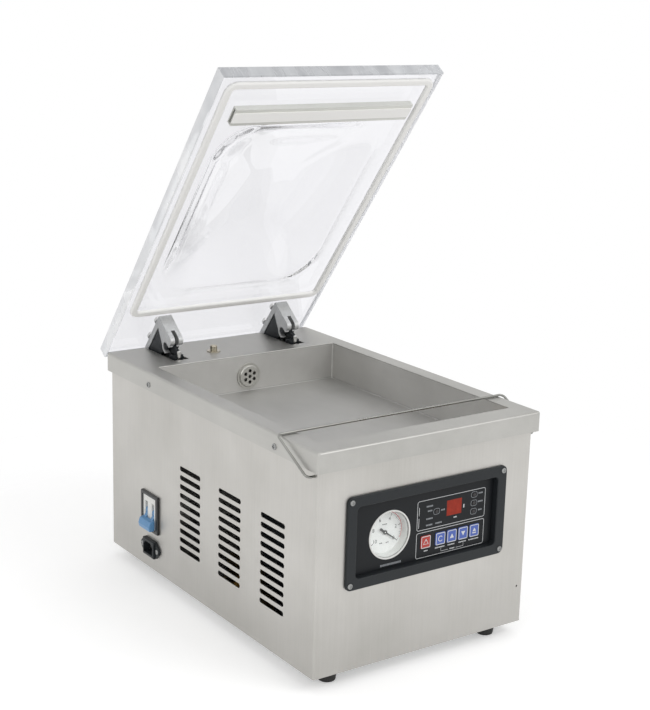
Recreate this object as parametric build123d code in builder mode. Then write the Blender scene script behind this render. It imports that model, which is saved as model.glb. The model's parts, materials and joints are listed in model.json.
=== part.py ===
"""Tabletop chamber vacuum sealer, with its clear lid propped open.

Millimetres. X runs to the right, Y to the back and Z up from the surface that the feet stand on.
Sizes are drawn about the deck's middle, and the pieces are written about the middle of the whole
outline with the lid open.
"""
import os
from math import cos, radians, sin

from build123d import *

# Main sizes of the cabinet
DECK_W = 332.0
DECK_D = 518.0
DECK_H = 297.0
DECK_SHEET = 1.5
DECK_FLANGE = 25.0
DECK_CORNER = 4.0
DECK_BEND = 3.0
CASE_SHEET = 1.2
CASE_BEND = 3.0
CASE_INSET_SIDE = 6.0
CASE_INSET_FRONT = 8.0
CASE_INSET_REAR = 4.7
CASE_RETURN = 14.0
FOOT_H = 18.0
FOOT_TOP_R = 13.0
FOOT_BOTTOM_R = 10.5
FOOT_EDGE = 2.0
FOOT_STEM_R = 9.0
FOOT_INSET_SIDE = 43.0
FOOT_INSET_END = 33.0
BASE_SHEET = 1.5
REAR_SHEET = 1.2
REAR_EDGE_GAP = 2.0
FRONT_HOLE_R = 1.3
FRONT_HOLE_INSET = 9.7
FRONT_HOLE_Z = 67.0

# Clearances
RUN_GAP = 0.3
SHAFT_GAP = 0.08
FIT_GAP = 0.2

# Chamber
CHAMBER_SIDE_RIM = 23.5
CHAMBER_FRONT_RIM = 32.5
CHAMBER_REAR_RIM = 105.0
CHAMBER_DEPTH = 52.0
CHAMBER_SHEET = 1.5
CHAMBER_CORNER = 2.0
CHAMBER_FLOOR_R = 1.2
CHAMBER_LIP_R = 1.0

# Suction port on the chamber's back wall
PORT_DROP = 30.5
PORT_SEAT_R = 18.5
PORT_SEAT_T = 1.6
PORT_DISC_R = 15.5
PORT_DISC_T = 4.0
PORT_DISC_EDGE = 1.2
PORT_PIPE_R = 12.5
PORT_BORE_R = 10.6
PORT_PIPE_L = 16.0
PORT_BARB_R = 8.0
PORT_BARB_BORE = 5.5
PORT_BARB_L = 14.0
PORT_HOLE_R = 2.5
PORT_HOLE_RING = 8.0
PORT_HOLES = 6
PORT_HOLE_START = 90.0

# Vents: columns of slots in both side walls
VENT_L = 52.5
VENT_H = 6.6
VENT_PITCH = 12.2
VENT_ROWS = 10
VENT_COLUMN_PITCH = 98.0
VENT_COLUMNS = 3
VENT_Y = -61.5
VENT_DROP = 166.8

# Lid and the axis that it turns on
LID_OPEN = 52.3
LID_INSET_SIDE = 2.0
LID_INSET_END = 3.0
LID_T = 18.0
LID_GAP = 3.8
LID_EDGE = 1.2
PIVOT_INSET = 10.7
PIVOT_DROP = 16.5
DOME_SIDE = 36.0
DOME_FRONT = 82.0
DOME_REAR = 118.0
DOME_CORNER = 48.0
DOME_RISE = 22.0
DOME_WALL = 10.0
DOME_LEAN_ANGLE = 44.0
DOME_CROWN_R = 14.0
GASKET_W = 10.0
GASKET_PROUD = 3.4
GASKET_SEATED = 2.0
GASKET_SIDE = 9.0
GASKET_FRONT = 8.0
GASKET_REAR = 85.0
GASKET_CORNER = 15.0
GASKET_ROUND = 2.6
COUNTER_GAP = 12.5
COUNTER_W = 25.0
COUNTER_H = 8.0
COUNTER_WALL = 1.8
COUNTER_FRONT = 45.5
PAD_W = 15.0
PAD_T = 1.5
PAD_PROUD = 1.0

# Hinge arms: cast angle brackets bolted under the lid
ARM_INSET = 70.7
ARM_W = 19.5
ARM_LEG_T = 8.0
ARM_LEG_TAIL = 5.0
ARM_PLATE_T = 7.0
ARM_PLATE_REACH = 71.3
ARM_NOSE_R = 7.0
ARM_NOSE_DROP = 19.0
ARM_KNUCKLE_R = 7.0
ARM_KNUCKLE_ROOT = 11.0
ARM_RIB_W = 5.0
ARM_SLOT_W = 6.0
ARM_SLOT_DROP = 7.0
ARM_SIDE_GAP = 0.5
ARCH_INSET = 19.5
ARCH_DROP = 18.1
ARCH_T = 3.1
ARCH_TAIL = 5.0
ARCH_GAP = 1.3
BARREL_R = 4.6
BARREL_L = 18.0
BOLT_R = 3.0
BOLT_HEAD_R = 5.0
BOLT_HEAD_H = 4.0
BOLT_NUT_R = 5.6
BOLT_NUT_H = 6.0
BOLT_INSET = 21.0
BOLT_REAR_REACH = 17.5
HINGE_PIN_R = 3.0
HINGE_PIN_HEAD_R = 4.4
HINGE_PIN_HEAD_T = 1.6
EAR_T = 3.0
EAR_R = 5.2
EAR_DEPTH = 22.0
EAR_DROP = 33.5
EAR_FLANGE = 10.0
OPENING_GAP_SIDE = 1.5
OPENING_GAP_FRONT = 3.5

# Sprung push rods that prop the lid
ROD_OFFSET = 20.5
ROD_R = 2.6
ROD_L = 124.0
ROD_TOP_DROP = 3.0
ROD_TIP = 1.2
HEAD_TONGUE_T = 4.6
HEAD_LOBE_R = 6.3
HEAD_BLOCK_W = 14.0
HEAD_BLOCK_TOP = 8.8
HEAD_BLOCK_H = 13.0
HEAD_BLOCK_BACK = 6.5
SPRING_R = 6.2
SPRING_WIRE_R = 1.1
SPRING_TURNS = 8
SPRING_L = 84.0
BRACKET_T = 3.0
BRACKET_W = 32.0
BRACKET_LIP = 40.0
BRACKET_NOSE = 22.0
BRACKET_SLOT_REACH = 10.0

# Hold-down wire bail
WIRE_R = 1.5
BAIL_BEND = 6.0
BAIL_PIVOT_INSET = 15.5
BAIL_PIVOT_DROP = 32.0
BAIL_BAR_INSET = 77.5
BAIL_SIDE_GAP = 3.5
BAIL_TUCK = 5.0

# Seal bar on its two lift posts
SEAL_INSET = 2.5
SEAL_W = 14.0
SEAL_H = 18.0
SEAL_LIFT = 9.0
SEAL_CLEAR = 0.5
TAPE_T = 0.6
TAPE_SIDE = 9.0
ELEMENT_W = 2.6
ELEMENT_T = 0.4
ELEMENT_PITCH = 6.0
POST_R = 5.0
POST_INSET = 46.0
POST_L = 50.0
LIFTER_R = 16.0
LIFTER_H = 48.0
LIFTER_FLOOR = 4.0
LIFTER_COLLAR_R = 20.0
LIFTER_COLLAR_T = 4.0

# Control panel
PANEL_DROP = 120.0
BEZEL_W = 240.0
BEZEL_H = 115.0
BEZEL_R = 8.0
BEZEL_PROUD = 3.5
BEZEL_EDGE = 1.5
BEZEL_WALL = 2.5
RECESS_W = 212.0
RECESS_H = 88.0
RECESS_D = 9.0
RECESS_R = 5.0
OVERLAY_T = 0.8
OVERLAY_GAP = 1.0
KEY_W = 15.0
KEY_H = 16.0
KEY_R = 1.5
KEY_PROUD = 1.0
KEY_DEPTH = 5.0
KEY_TRAVEL = 0.5
KEY_DROP = 22.0
KEY_PLACES = {"stop_key": 2.0, "set_key": 24.6, "up_key": 42.3, "down_key": 60.0, "enter_key": 77.7}
DISPLAY_W = 23.0
DISPLAY_H = 19.5
DISPLAY_X = 44.5
DISPLAY_RISE = 14.5
LAMP_R = 2.4
LAMP_PROUD = 0.5
LAMP_PLACES = ((75.5, 24.6), (75.5, 13.8), (75.5, 3.0), (17.3, 13.8))
BOARD_W = 126.0
BOARD_H = 84.0
BOARD_T = 1.6
BOARD_X = 44.0
BOARD_GAP = 7.0
BOARD_POST_R = 3.0
BOARD_POST_INSET = 6.0
SWITCH_SIZE = 6.0

# Vacuum gauge
GAUGE_X = -52.6
GAUGE_DROP = 2.0
GAUGE_R = 30.3
GAUGE_WALL = 1.8
GAUGE_PROUD = 0.5
GAUGE_DEPTH = 32.0
GAUGE_BACK_T = 2.0
GAUGE_STEM_R = 5.0
GAUGE_STEM_L = 10.0
GAUGE_SHOULDER = 0.5
DIAL_R = 26.2
DIAL_DEPTH = 11.5
DIAL_T = 1.0
LENS_T = 1.5
LENS_SET = 1.0
NEEDLE_LEN = 20.5
NEEDLE_TAIL = 9.0
NEEDLE_TAIL_W = 3.0
NEEDLE_TIP_W = 0.6
NEEDLE_T = 0.8
NEEDLE_GAP = 1.2
NEEDLE_HUB_R = 2.6
NEEDLE_REST_ANGLE = -36.0
SPINDLE_R = 0.8

# Circuit breaker and mains inlet on the left side
BREAKER_INSET = 117.0
BREAKER_Z = 99.5
BREAKER_FRAME_W = 47.0
BREAKER_FRAME_H = 54.0
BREAKER_FRAME_R = 2.0
BREAKER_PROUD = 3.5
BREAKER_W = 36.0
BREAKER_H = 45.0
BREAKER_DEPTH = 52.0
BREAKER_SET = 1.5
TOGGLE_HUB_R = 5.5
TOGGLE_SET = 6.0
TOGGLE_W = 30.0
TOGGLE_GRIP = ((6.6, -8.0), (13.5, -9.5), (16.0, -17.0), (14.5, -23.0), (8.2, -23.0), (6.6, -20.5))
TOGGLE_GRIP_EDGE = 1.2
TOGGLE_ARM_L = 17.0
TOGGLE_ARM_W = 6.0
TOGGLE_ARM_T = 4.4
TOGGLE_REST_ANGLE = 55.0
TOGGLE_SLOT_H = 27.0
TOGGLE_PIN_R = 1.5
TOGGLE_PIN_END = 2.0
POLE_WIDTH = 18.0
INLET_INSET = 118.5
INLET_Z = 49.0
INLET_W = 50.0
INLET_H = 24.0
INLET_END_R = 6.2
INLET_FLANGE_T = 3.0
INLET_COLLAR_W = 30.0
INLET_COLLAR_T = 3.0
INLET_BODY_W = 28.0
INLET_BODY_H = 21.0
INLET_BODY_D = 22.0
INLET_SOCKET_W = 24.4
INLET_SOCKET_H = 16.4
INLET_SOCKET_D = 18.0
INLET_SOCKET_CUT = 5.0
INLET_SCREW_PITCH = 40.0
BLADE_W = 2.0
BLADE_H = 4.0
BLADE_L = 11.0
BLADE_PITCH = 14.0
BLADE_RISE = 2.0

# Screws: shank, head and head height of each kind
SCREW_R = 2.0
SCREW_HEAD_R = 4.0
SCREW_HEAD_H = 1.6
SCREW_L = 8.0
SCREW_GAP = 0.1
DECK_SCREW_INSETS = (90.0, 122.0)
DECK_SCREW_DROP = 17.0
REAR_SCREW_Z = (60.0, 150.0, 240.0)
REAR_SCREW_INSET = 8.0
PANEL_SCREW_X = 114.0
PANEL_SCREW_Z = 51.0
PANEL_SCREW_R = 1.6
PANEL_SCREW_HEAD_R = 3.4
PANEL_SCREW_HEAD_H = 1.4

# Lid switch behind the chamber
LATCH_X = -33.0
LATCH_INSET = 65.0
LATCH_PIN_R = 5.0
LATCH_RISE = 9.0
LATCH_TRAVEL = 5.6
LATCH_COLLAR_R = 9.5
LATCH_COLLAR_H = 1.2
LATCH_THREAD_R = 7.0
LATCH_BODY = 18.0
LATCH_BODY_DROP = 24.0
LATCH_BODY_H = 14.0

# Pump, motor, transformer, valves and hose on the base
PUMP_W = 110.0
PUMP_L = 95.0
PUMP_H = 104.0
PUMP_Y = -100.0
PUMP_EDGE = 6.0
PUMP_FIN_T = 3.0
PUMP_FIN_D = 6.0
PUMP_FINS = 7
PUMP_FIN_PITCH = 12.0
PUMP_PORT_R = 9.0
PUMP_PORT_H = 14.0
MOTOR_R = 46.0
MOTOR_L = 130.0
MOTOR_Z = 60.0
MOTOR_FIN_D = 4.0
MOTOR_FIN_T = 2.4
MOTOR_FINS = 24
MOTOR_END_L = 14.0
MOTOR_FOOT_W = 70.0
MOTOR_FOOT_L = 80.0
CORE_W = 72.0
CORE_L = 44.0
CORE_H = 60.0
CORE_INSET = 48.0
CORE_Y = 20.0
COIL_W = 40.0
COIL_L = 70.0
COIL_H = 40.0
COIL_EDGE = 6.0
VALVE_INSET = 45.0
VALVE_Y = -30.0
VALVE_BLOCK_W = 34.0
VALVE_BLOCK_L = 84.0
VALVE_BLOCK_H = 24.0
VALVE_COIL_R = 14.0
VALVE_COIL_H = 34.0
VALVE_PITCH = 42.0
HOSE_R = 8.0
HOSE_BEND = 24.0
HOSE_CLEAR = 23.5
HOSE_BACK = 33.0

# Places that follow from the sizes above
FOOT_X = DECK_W / 2 - FOOT_INSET_SIDE
FOOT_Y = DECK_D / 2 - FOOT_INSET_END
CASE_X = DECK_W / 2 - CASE_INSET_SIDE
CASE_FRONT = -DECK_D / 2 + CASE_INSET_FRONT
CASE_REAR = DECK_D / 2 - CASE_INSET_REAR
CASE_TOP = DECK_H - DECK_SHEET
CASE_MID_Y = (CASE_FRONT + CASE_REAR) / 2
FLANGE_BOTTOM = DECK_H - DECK_FLANGE
BASE_BOTTOM = FOOT_H + CASE_SHEET
BASE_TOP = BASE_BOTTOM + BASE_SHEET
CHAMBER_Y0 = -DECK_D / 2 + CHAMBER_FRONT_RIM
CHAMBER_Y1 = DECK_D / 2 - CHAMBER_REAR_RIM
CHAMBER_W = DECK_W - 2 * CHAMBER_SIDE_RIM
CHAMBER_L = CHAMBER_Y1 - CHAMBER_Y0
CHAMBER_MID_Y = (CHAMBER_Y0 + CHAMBER_Y1) / 2
CHAMBER_FLOOR = DECK_H - CHAMBER_DEPTH
TUB_BOTTOM = CHAMBER_FLOOR - CHAMBER_SHEET
PORT_Z = DECK_H - PORT_DROP
PIVOT_Y = DECK_D / 2 - PIVOT_INSET
PIVOT_Z = DECK_H - PIVOT_DROP
OPEN_SIN = sin(radians(LID_OPEN))
OPEN_COS = cos(radians(LID_OPEN))
LID_W = DECK_W - 2 * LID_INSET_SIDE
LID_L = DECK_D - 2 * LID_INSET_END
LID_UNDER = PIVOT_DROP + LID_GAP
LID_FRONT = -LID_L / 2 - PIVOT_Y
LEG_UNDER = LID_UNDER - ARM_LEG_T
ARM_X = DECK_W / 2 - ARM_INSET
ARCH_REACH = ARM_PLATE_REACH - ARCH_INSET
BOLT_REACHES = (ARM_PLATE_REACH - BOLT_INSET, BOLT_REAR_REACH)
BARREL_Y = PIVOT_Y - ARCH_REACH * OPEN_COS - ARCH_DROP * OPEN_SIN
BARREL_Z = PIVOT_Z + ARCH_REACH * OPEN_SIN - ARCH_DROP * OPEN_COS
ROD_Y = BARREL_Y - ROD_OFFSET
ROD_TOP = BARREL_Z - ROD_TOP_DROP
HEAD_BOTTOM = BARREL_Z - HEAD_BLOCK_TOP - HEAD_BLOCK_H
SHELF_TOP = HEAD_BOTTOM - SPRING_L - 2 * SPRING_WIRE_R
OPENING_FRONT = PIVOT_Y - ARM_PLATE_REACH - OPENING_GAP_FRONT
OPENING_HALF = ARM_W / 2 + OPENING_GAP_SIDE
EAR_INNER = ARM_W / 2 + ARM_SIDE_GAP
EAR_OUTER = EAR_INNER + EAR_T
NOTCH_HALF = EAR_OUTER + HINGE_PIN_HEAD_T + RUN_GAP
COUNTER_LEN = LID_W - 2 * (GASKET_SIDE + GASKET_W + COUNTER_GAP)
COUNTER_MID = LID_FRONT + COUNTER_FRONT + COUNTER_W / 2
SEAL_Y = COUNTER_MID + PIVOT_Y
SEAL_L = COUNTER_LEN - 2 * SEAL_INSET
POST_X = SEAL_L / 2 - POST_INSET
SEAL_TOP = DECK_H + LID_GAP - COUNTER_H - PAD_PROUD - SEAL_CLEAR - SEAL_LIFT
SEAL_BAR_TOP = SEAL_TOP - TAPE_T - ELEMENT_T
BAIL_X = DECK_W / 2 + BAIL_SIDE_GAP + WIRE_R
BAIL_PIVOT_Y = -DECK_D / 2 + BAIL_PIVOT_INSET
BAIL_PIVOT_Z = DECK_H - BAIL_PIVOT_DROP
BAIL_BAR_Y = -DECK_D / 2 + BAIL_BAR_INSET
BAIL_BAR_Z = DECK_H + WIRE_R + RUN_GAP
BEZEL_FRONT = CASE_FRONT - BEZEL_PROUD
RECESS_FLOOR = BEZEL_FRONT + RECESS_D
TRAY_BACK = RECESS_FLOOR + BEZEL_WALL
OVERLAY_FRONT = RECESS_FLOOR - OVERLAY_T
BOARD_FRONT = TRAY_BACK + BOARD_GAP
KEY_FRONT = OVERLAY_FRONT - KEY_PROUD
KEY_BACK = KEY_FRONT + KEY_DEPTH
PANEL_Z = DECK_H - PANEL_DROP
GAUGE_Z = PANEL_Z - GAUGE_DROP
GAUGE_FRONT = OVERLAY_FRONT - GAUGE_PROUD
GAUGE_BACK = GAUGE_FRONT + GAUGE_DEPTH
GAUGE_INNER_R = GAUGE_R - GAUGE_WALL
DIAL_FRONT = GAUGE_FRONT + DIAL_DEPTH
DIAL_BACK = DIAL_FRONT + DIAL_T
LENS_BACK = GAUGE_FRONT + LENS_SET + LENS_T
BREAKER_Y = DECK_D / 2 - BREAKER_INSET
BREAKER_FACE = -CASE_X - BREAKER_PROUD + BREAKER_SET
TOGGLE_X = BREAKER_FACE + TOGGLE_SET
TOGGLE_PIN_HALF = (POLE_WIDTH + TOGGLE_ARM_W) / 2 + TOGGLE_PIN_END
INLET_Y = DECK_D / 2 - INLET_INSET
INLET_FACE = -CASE_X - INLET_FLANGE_T - INLET_COLLAR_T
SOCKET_FLOOR = INLET_FACE + INLET_SOCKET_D
PORT_PIPE_END = CHAMBER_Y1 + CHAMBER_SHEET + PORT_PIPE_L
PORT_END = PORT_PIPE_END + PORT_BARB_L
PUMP_TOP = BASE_TOP + PUMP_H + PUMP_PORT_H
HOSE_RUN_Z = TUB_BOTTOM - HOSE_R - HOSE_CLEAR
MOTOR_AXIS = BASE_TOP + MOTOR_Z
CORE_X = CASE_X - CORE_INSET
VALVE_X = VALVE_INSET - CASE_X
DOME_W = LID_W - 2 * DOME_SIDE
DOME_L = LID_L - DOME_FRONT - DOME_REAR
DOME_MID = LID_FRONT + DOME_FRONT + DOME_L / 2
ARCH_BORE_R = BARREL_R + ARCH_GAP
ARCH_R = ARCH_BORE_R + ARCH_T
LID_BACK = PIVOT_Y + (LID_L / 2 - PIVOT_Y) * OPEN_COS + (LID_UNDER + LID_T) * OPEN_SIN
ORIGIN_Y = (LID_BACK - DECK_D / 2) / 2
LATCH_Y = DECK_D / 2 - LATCH_INSET
VENT_Z = DECK_H - VENT_DROP
DECK_SCREW_Y = (DECK_SCREW_INSETS[0] - DECK_D / 2, DECK_D / 2 - DECK_SCREW_INSETS[1])
LID_UP = Axis((0, 0, 0), (0, OPEN_SIN, OPEN_COS))
SIDES = (-1, 1)


def side_plane(x):
    """Plane at x that faces left: its x runs to the front and its y up."""
    return Plane(origin=(x, 0, 0), x_dir=(0, -1, 0), z_dir=(-1, 0, 0))


def front_plane(y, z=0.0):
    """Plane at y that faces the front, with its origin at height z."""
    return Plane(origin=(0, y, z), x_dir=(1, 0, 0), z_dir=(0, -1, 0))


def lid_plane(height):
    """Plane of the open lid that lies this far above the hinge axis when the lid is shut."""
    axis_plane = Plane(origin=(0, PIVOT_Y, PIVOT_Z), x_dir=(1, 0, 0), z_dir=(0, OPEN_SIN, OPEN_COS))
    return axis_plane.offset(height)


def arm_plane(x):
    """Side view of a hinge arm: x runs to the lid's back and y out of its top, from the hinge axis."""
    return Plane(origin=(x, PIVOT_Y, PIVOT_Z), x_dir=(0, OPEN_COS, -OPEN_SIN), z_dir=(1, 0, 0))


def finish(piece, name):
    """Move a finished piece to the shared origin, label it and write it to its own file."""
    placed = piece.part.moved(Location((0, -ORIGIN_Y, 0)))
    placed.label = name
    export_step(placed, f"parts/{name}.step")


def key_places():
    """Centres of the keys' holes, in the panel's own plane."""
    return [(x, -KEY_DROP) for x in KEY_PLACES.values()]


def gasket_outline():
    """Ring that the gasket fills, drawn in the lid's own plane."""
    ring_w = LID_W - 2 * GASKET_SIDE
    ring_l = LID_L - GASKET_FRONT - GASKET_REAR
    with Locations((0, LID_FRONT + GASKET_FRONT + ring_l / 2)):
        RectangleRounded(ring_w, ring_l, GASKET_CORNER)
        inner_corner = GASKET_CORNER - GASKET_W
        RectangleRounded(ring_w - 2 * GASKET_W, ring_l - 2 * GASKET_W, inner_corner, mode=Mode.SUBTRACT)


def panel_holes():
    """Holes that the panel's tray and its overlay share."""
    with Locations((GAUGE_X, -GAUGE_DROP)):
        Circle(GAUGE_R + FIT_GAP)
    with Locations(key_places()):
        RectangleRounded(KEY_W + 2 * RUN_GAP, KEY_H + 2 * RUN_GAP, KEY_R)
    with Locations((DISPLAY_X, DISPLAY_RISE)):
        Rectangle(DISPLAY_W + FIT_GAP, DISPLAY_H + FIT_GAP)
    with Locations(LAMP_PLACES):
        Circle(LAMP_R + SCREW_GAP)


def pan_screw(seat, shank_r, head_r, head_h, length):
    """Pan-head screw whose head sits on the seat and whose shank goes in behind it."""
    with BuildSketch(seat) as head:
        Circle(head_r)
    extrude(head.sketch, amount=head_h)
    with BuildSketch(seat) as shank:
        Circle(shank_r)
    extrude(shank.sketch, amount=-length)


os.makedirs("parts", exist_ok=True)

# Outer casing: one folded wrap of front and sides, with returns at the back and the bottom
with BuildPart() as outer_casing:
    with BuildSketch(Plane.XY.offset(FOOT_H)) as wrap:
        with Locations((0, CASE_MID_Y)):
            Rectangle(2 * CASE_X, CASE_REAR - CASE_FRONT)
        fillet(wrap.vertices().group_by(Axis.Y)[0], CASE_BEND)
        offset(amount=-CASE_SHEET, mode=Mode.SUBTRACT)
    extrude(amount=CASE_TOP - FOOT_H)
    with BuildSketch(Plane.XY.offset(FOOT_H)) as bottom_return:
        with Locations((0, CASE_MID_Y)):
            Rectangle(2 * CASE_X - CASE_SHEET, CASE_REAR - CASE_FRONT - CASE_SHEET)
            return_l = CASE_REAR - CASE_FRONT - 2 * CASE_RETURN
            Rectangle(2 * (CASE_X - CASE_RETURN), return_l, mode=Mode.SUBTRACT)
    extrude(amount=CASE_SHEET)
    with BuildSketch(front_plane(CASE_REAR, BASE_BOTTOM)) as rear_opening:
        Rectangle(2 * (CASE_X - CASE_RETURN), DECK_H, align=(Align.CENTER, Align.MIN))
    extrude(amount=CASE_RETURN / 2, mode=Mode.SUBTRACT)
    with BuildSketch(side_plane(-CASE_X)) as vents:
        with Locations((-VENT_Y, VENT_Z)):
            with GridLocations(VENT_COLUMN_PITCH, VENT_PITCH, VENT_COLUMNS, VENT_ROWS):
                SlotOverall(VENT_L, VENT_H)
    extrude(amount=-2 * CASE_X, mode=Mode.SUBTRACT)
    with BuildSketch(side_plane(-CASE_X)) as left_openings:
        with Locations((-BREAKER_Y, BREAKER_Z)):
            Rectangle(BREAKER_W + 2 * FIT_GAP, BREAKER_H + 2 * FIT_GAP)
        with Locations((-INLET_Y, INLET_Z)):
            Rectangle(INLET_BODY_W + 2 * FIT_GAP, INLET_BODY_H + 2 * FIT_GAP)
            with GridLocations(INLET_SCREW_PITCH, 1, 2, 1):
                Circle(PANEL_SCREW_R + SCREW_GAP)
    extrude(amount=-CASE_RETURN, mode=Mode.SUBTRACT)
    with BuildSketch(side_plane(-CASE_X)) as cross_holes:
        with Locations((-BAIL_PIVOT_Y, BAIL_PIVOT_Z)):
            Circle(WIRE_R + SHAFT_GAP)
        with Locations([(-y, DECK_H - DECK_SCREW_DROP) for y in DECK_SCREW_Y]):
            Circle(SCREW_R + SCREW_GAP)
    extrude(amount=-2 * CASE_X, mode=Mode.SUBTRACT)
    with BuildSketch(front_plane(CASE_FRONT, PANEL_Z)) as panel_opening:
        Rectangle(RECESS_W + 2 * (BEZEL_WALL + FIT_GAP), RECESS_H + 2 * (BEZEL_WALL + FIT_GAP))
        with GridLocations(2 * PANEL_SCREW_X, 2 * PANEL_SCREW_Z, 2, 2):
            Circle(PANEL_SCREW_R + SCREW_GAP)
        with Locations((CASE_X - FRONT_HOLE_INSET, FRONT_HOLE_Z - PANEL_Z)):
            Circle(FRONT_HOLE_R)
    extrude(amount=-CASE_RETURN / 2, mode=Mode.SUBTRACT)
    with BuildSketch(front_plane(CASE_REAR)) as rear_holes:
        for height in REAR_SCREW_Z:
            with Locations((0, height)):
                with GridLocations(2 * (CASE_X - REAR_SCREW_INSET), 1, 2, 1):
                    Circle(SCREW_R + SCREW_GAP)
    extrude(amount=CASE_RETURN, mode=Mode.SUBTRACT)
finish(outer_casing, "outer_casing")

# Rear panel: a flat sheet screwed on the casing's returns and notched round the hinges
with BuildPart() as rear_panel:
    with BuildSketch(front_plane(CASE_REAR, BASE_BOTTOM)) as rear_sheet:
        panel_h = CASE_TOP - BASE_BOTTOM - REAR_EDGE_GAP
        Rectangle(2 * (CASE_X - REAR_EDGE_GAP), panel_h, align=(Align.CENTER, Align.MIN))
        with Locations((-ARM_X, panel_h), (ARM_X, panel_h)):
            notch_h = panel_h + BASE_BOTTOM - (CASE_TOP - EAR_DROP - RUN_GAP)
            Rectangle(2 * NOTCH_HALF, notch_h, align=(Align.CENTER, Align.MAX), mode=Mode.SUBTRACT)
        for height in REAR_SCREW_Z:
            with Locations((0, height - BASE_BOTTOM)):
                with GridLocations(2 * (CASE_X - REAR_SCREW_INSET), 1, 2, 1):
                    Circle(SCREW_R + SCREW_GAP, mode=Mode.SUBTRACT)
    extrude(amount=-REAR_SHEET)
finish(rear_panel, "rear_panel")

# Base plate, lying on the casing's bottom return
with BuildPart() as base_plate:
    with BuildSketch(Plane.XY.offset(BASE_BOTTOM)):
        with Locations((0, CASE_MID_Y)):
            base_w = 2 * (CASE_X - CASE_SHEET - FIT_GAP)
            Rectangle(base_w, CASE_REAR - CASE_FRONT - 2 * (CASE_SHEET + FIT_GAP))
    extrude(amount=BASE_SHEET)
    fillet(base_plate.edges().filter_by(Axis.Z), CASE_BEND)
finish(base_plate, "base_plate")

# Four tapered rubber feet
with BuildPart() as rubber_feet:
    with BuildSketch(Plane.XZ) as foot_side:
        with BuildLine():
            Polyline(
                (0, 0),
                (FOOT_BOTTOM_R, 0),
                (FOOT_TOP_R, FOOT_H),
                (FOOT_STEM_R, FOOT_H),
                (FOOT_STEM_R, BASE_BOTTOM),
                (0, BASE_BOTTOM),
                close=True,
            )
        make_face()
        fillet(foot_side.vertices().sort_by(Axis.Y)[:2].sort_by(Axis.X)[-1], FOOT_EDGE)
    foot = revolve(axis=Axis.Z, mode=Mode.PRIVATE)
    with GridLocations(2 * FOOT_X, 2 * FOOT_Y, 2, 2):
        add(foot)
finish(rubber_feet, "rubber_feet")

# Top deck: a folded tray turned over, open over the chamber and slotted for the hinge arms
with BuildPart() as top_deck:
    with BuildSketch(Plane.XY.offset(FLANGE_BOTTOM)):
        RectangleRounded(DECK_W, DECK_D, DECK_CORNER)
    extrude(amount=DECK_FLANGE)
    fillet(top_deck.faces().sort_by(Axis.Z)[-1].edges(), DECK_BEND)
    with BuildSketch(Plane.XY.offset(FLANGE_BOTTOM)):
        inner_corner = DECK_CORNER - DECK_SHEET
        RectangleRounded(DECK_W - 2 * DECK_SHEET, DECK_D - 2 * DECK_SHEET, inner_corner)
    extrude(amount=DECK_FLANGE - DECK_SHEET, mode=Mode.SUBTRACT)
    with BuildSketch(Plane.XY.offset(DECK_H)) as deck_cuts:
        with Locations((0, CHAMBER_MID_Y)):
            RectangleRounded(CHAMBER_W, CHAMBER_L, CHAMBER_CORNER)
        with Locations((LATCH_X, LATCH_Y)):
            Circle(LATCH_THREAD_R + SCREW_GAP)
    extrude(amount=-DECK_FLANGE, mode=Mode.SUBTRACT)
    lip = top_deck.faces().sort_by(Axis.Z)[-1].inner_wires().sort_by(SortBy.LENGTH)[-1]
    fillet(lip.edges(), CHAMBER_LIP_R)
    with BuildSketch(Plane.XY.offset(DECK_H)) as hinge_slots:
        with Locations((-ARM_X, OPENING_FRONT), (ARM_X, OPENING_FRONT)):
            Rectangle(2 * OPENING_HALF, DECK_D / 2, align=(Align.CENTER, Align.MIN))
    extrude(amount=-2 * DECK_FLANGE, mode=Mode.SUBTRACT)
    with BuildSketch(side_plane(-DECK_W / 2)) as flange_holes:
        with Locations([(-y, DECK_H - DECK_SCREW_DROP) for y in DECK_SCREW_Y]):
            Circle(SCREW_R + SCREW_GAP)
    extrude(amount=-DECK_W, mode=Mode.SUBTRACT)
finish(top_deck, "top_deck")

# Chamber tub, welded under the deck's opening
with BuildPart() as chamber_tub:
    with BuildSketch(Plane.XY.offset(TUB_BOTTOM)):
        with Locations((0, CHAMBER_MID_Y)):
            outer_corner = CHAMBER_CORNER + CHAMBER_SHEET
            RectangleRounded(CHAMBER_W + 2 * CHAMBER_SHEET, CHAMBER_L + 2 * CHAMBER_SHEET, outer_corner)
    extrude(amount=CASE_TOP - TUB_BOTTOM)
    fillet(chamber_tub.faces().sort_by(Axis.Z)[0].edges(), CHAMBER_FLOOR_R + CHAMBER_SHEET)
    with BuildSketch(Plane.XY.offset(CHAMBER_FLOOR)):
        with Locations((0, CHAMBER_MID_Y)):
            RectangleRounded(CHAMBER_W, CHAMBER_L, CHAMBER_CORNER)
    cavity = extrude(amount=CHAMBER_DEPTH, mode=Mode.PRIVATE)
    add(cavity.fillet(CHAMBER_FLOOR_R, cavity.faces().sort_by(Axis.Z)[0].edges()), mode=Mode.SUBTRACT)
    with BuildSketch(Plane.XY.offset(CHAMBER_FLOOR)):
        with Locations((-POST_X, SEAL_Y), (POST_X, SEAL_Y)):
            Circle(POST_R + RUN_GAP)
    extrude(amount=-2 * CHAMBER_SHEET, mode=Mode.SUBTRACT)
    with BuildSketch(front_plane(CHAMBER_Y1, PORT_Z)):
        Circle(PORT_PIPE_R + SCREW_GAP)
    extrude(amount=-2 * CHAMBER_SHEET, mode=Mode.SUBTRACT)
finish(chamber_tub, "chamber_tub")

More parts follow.
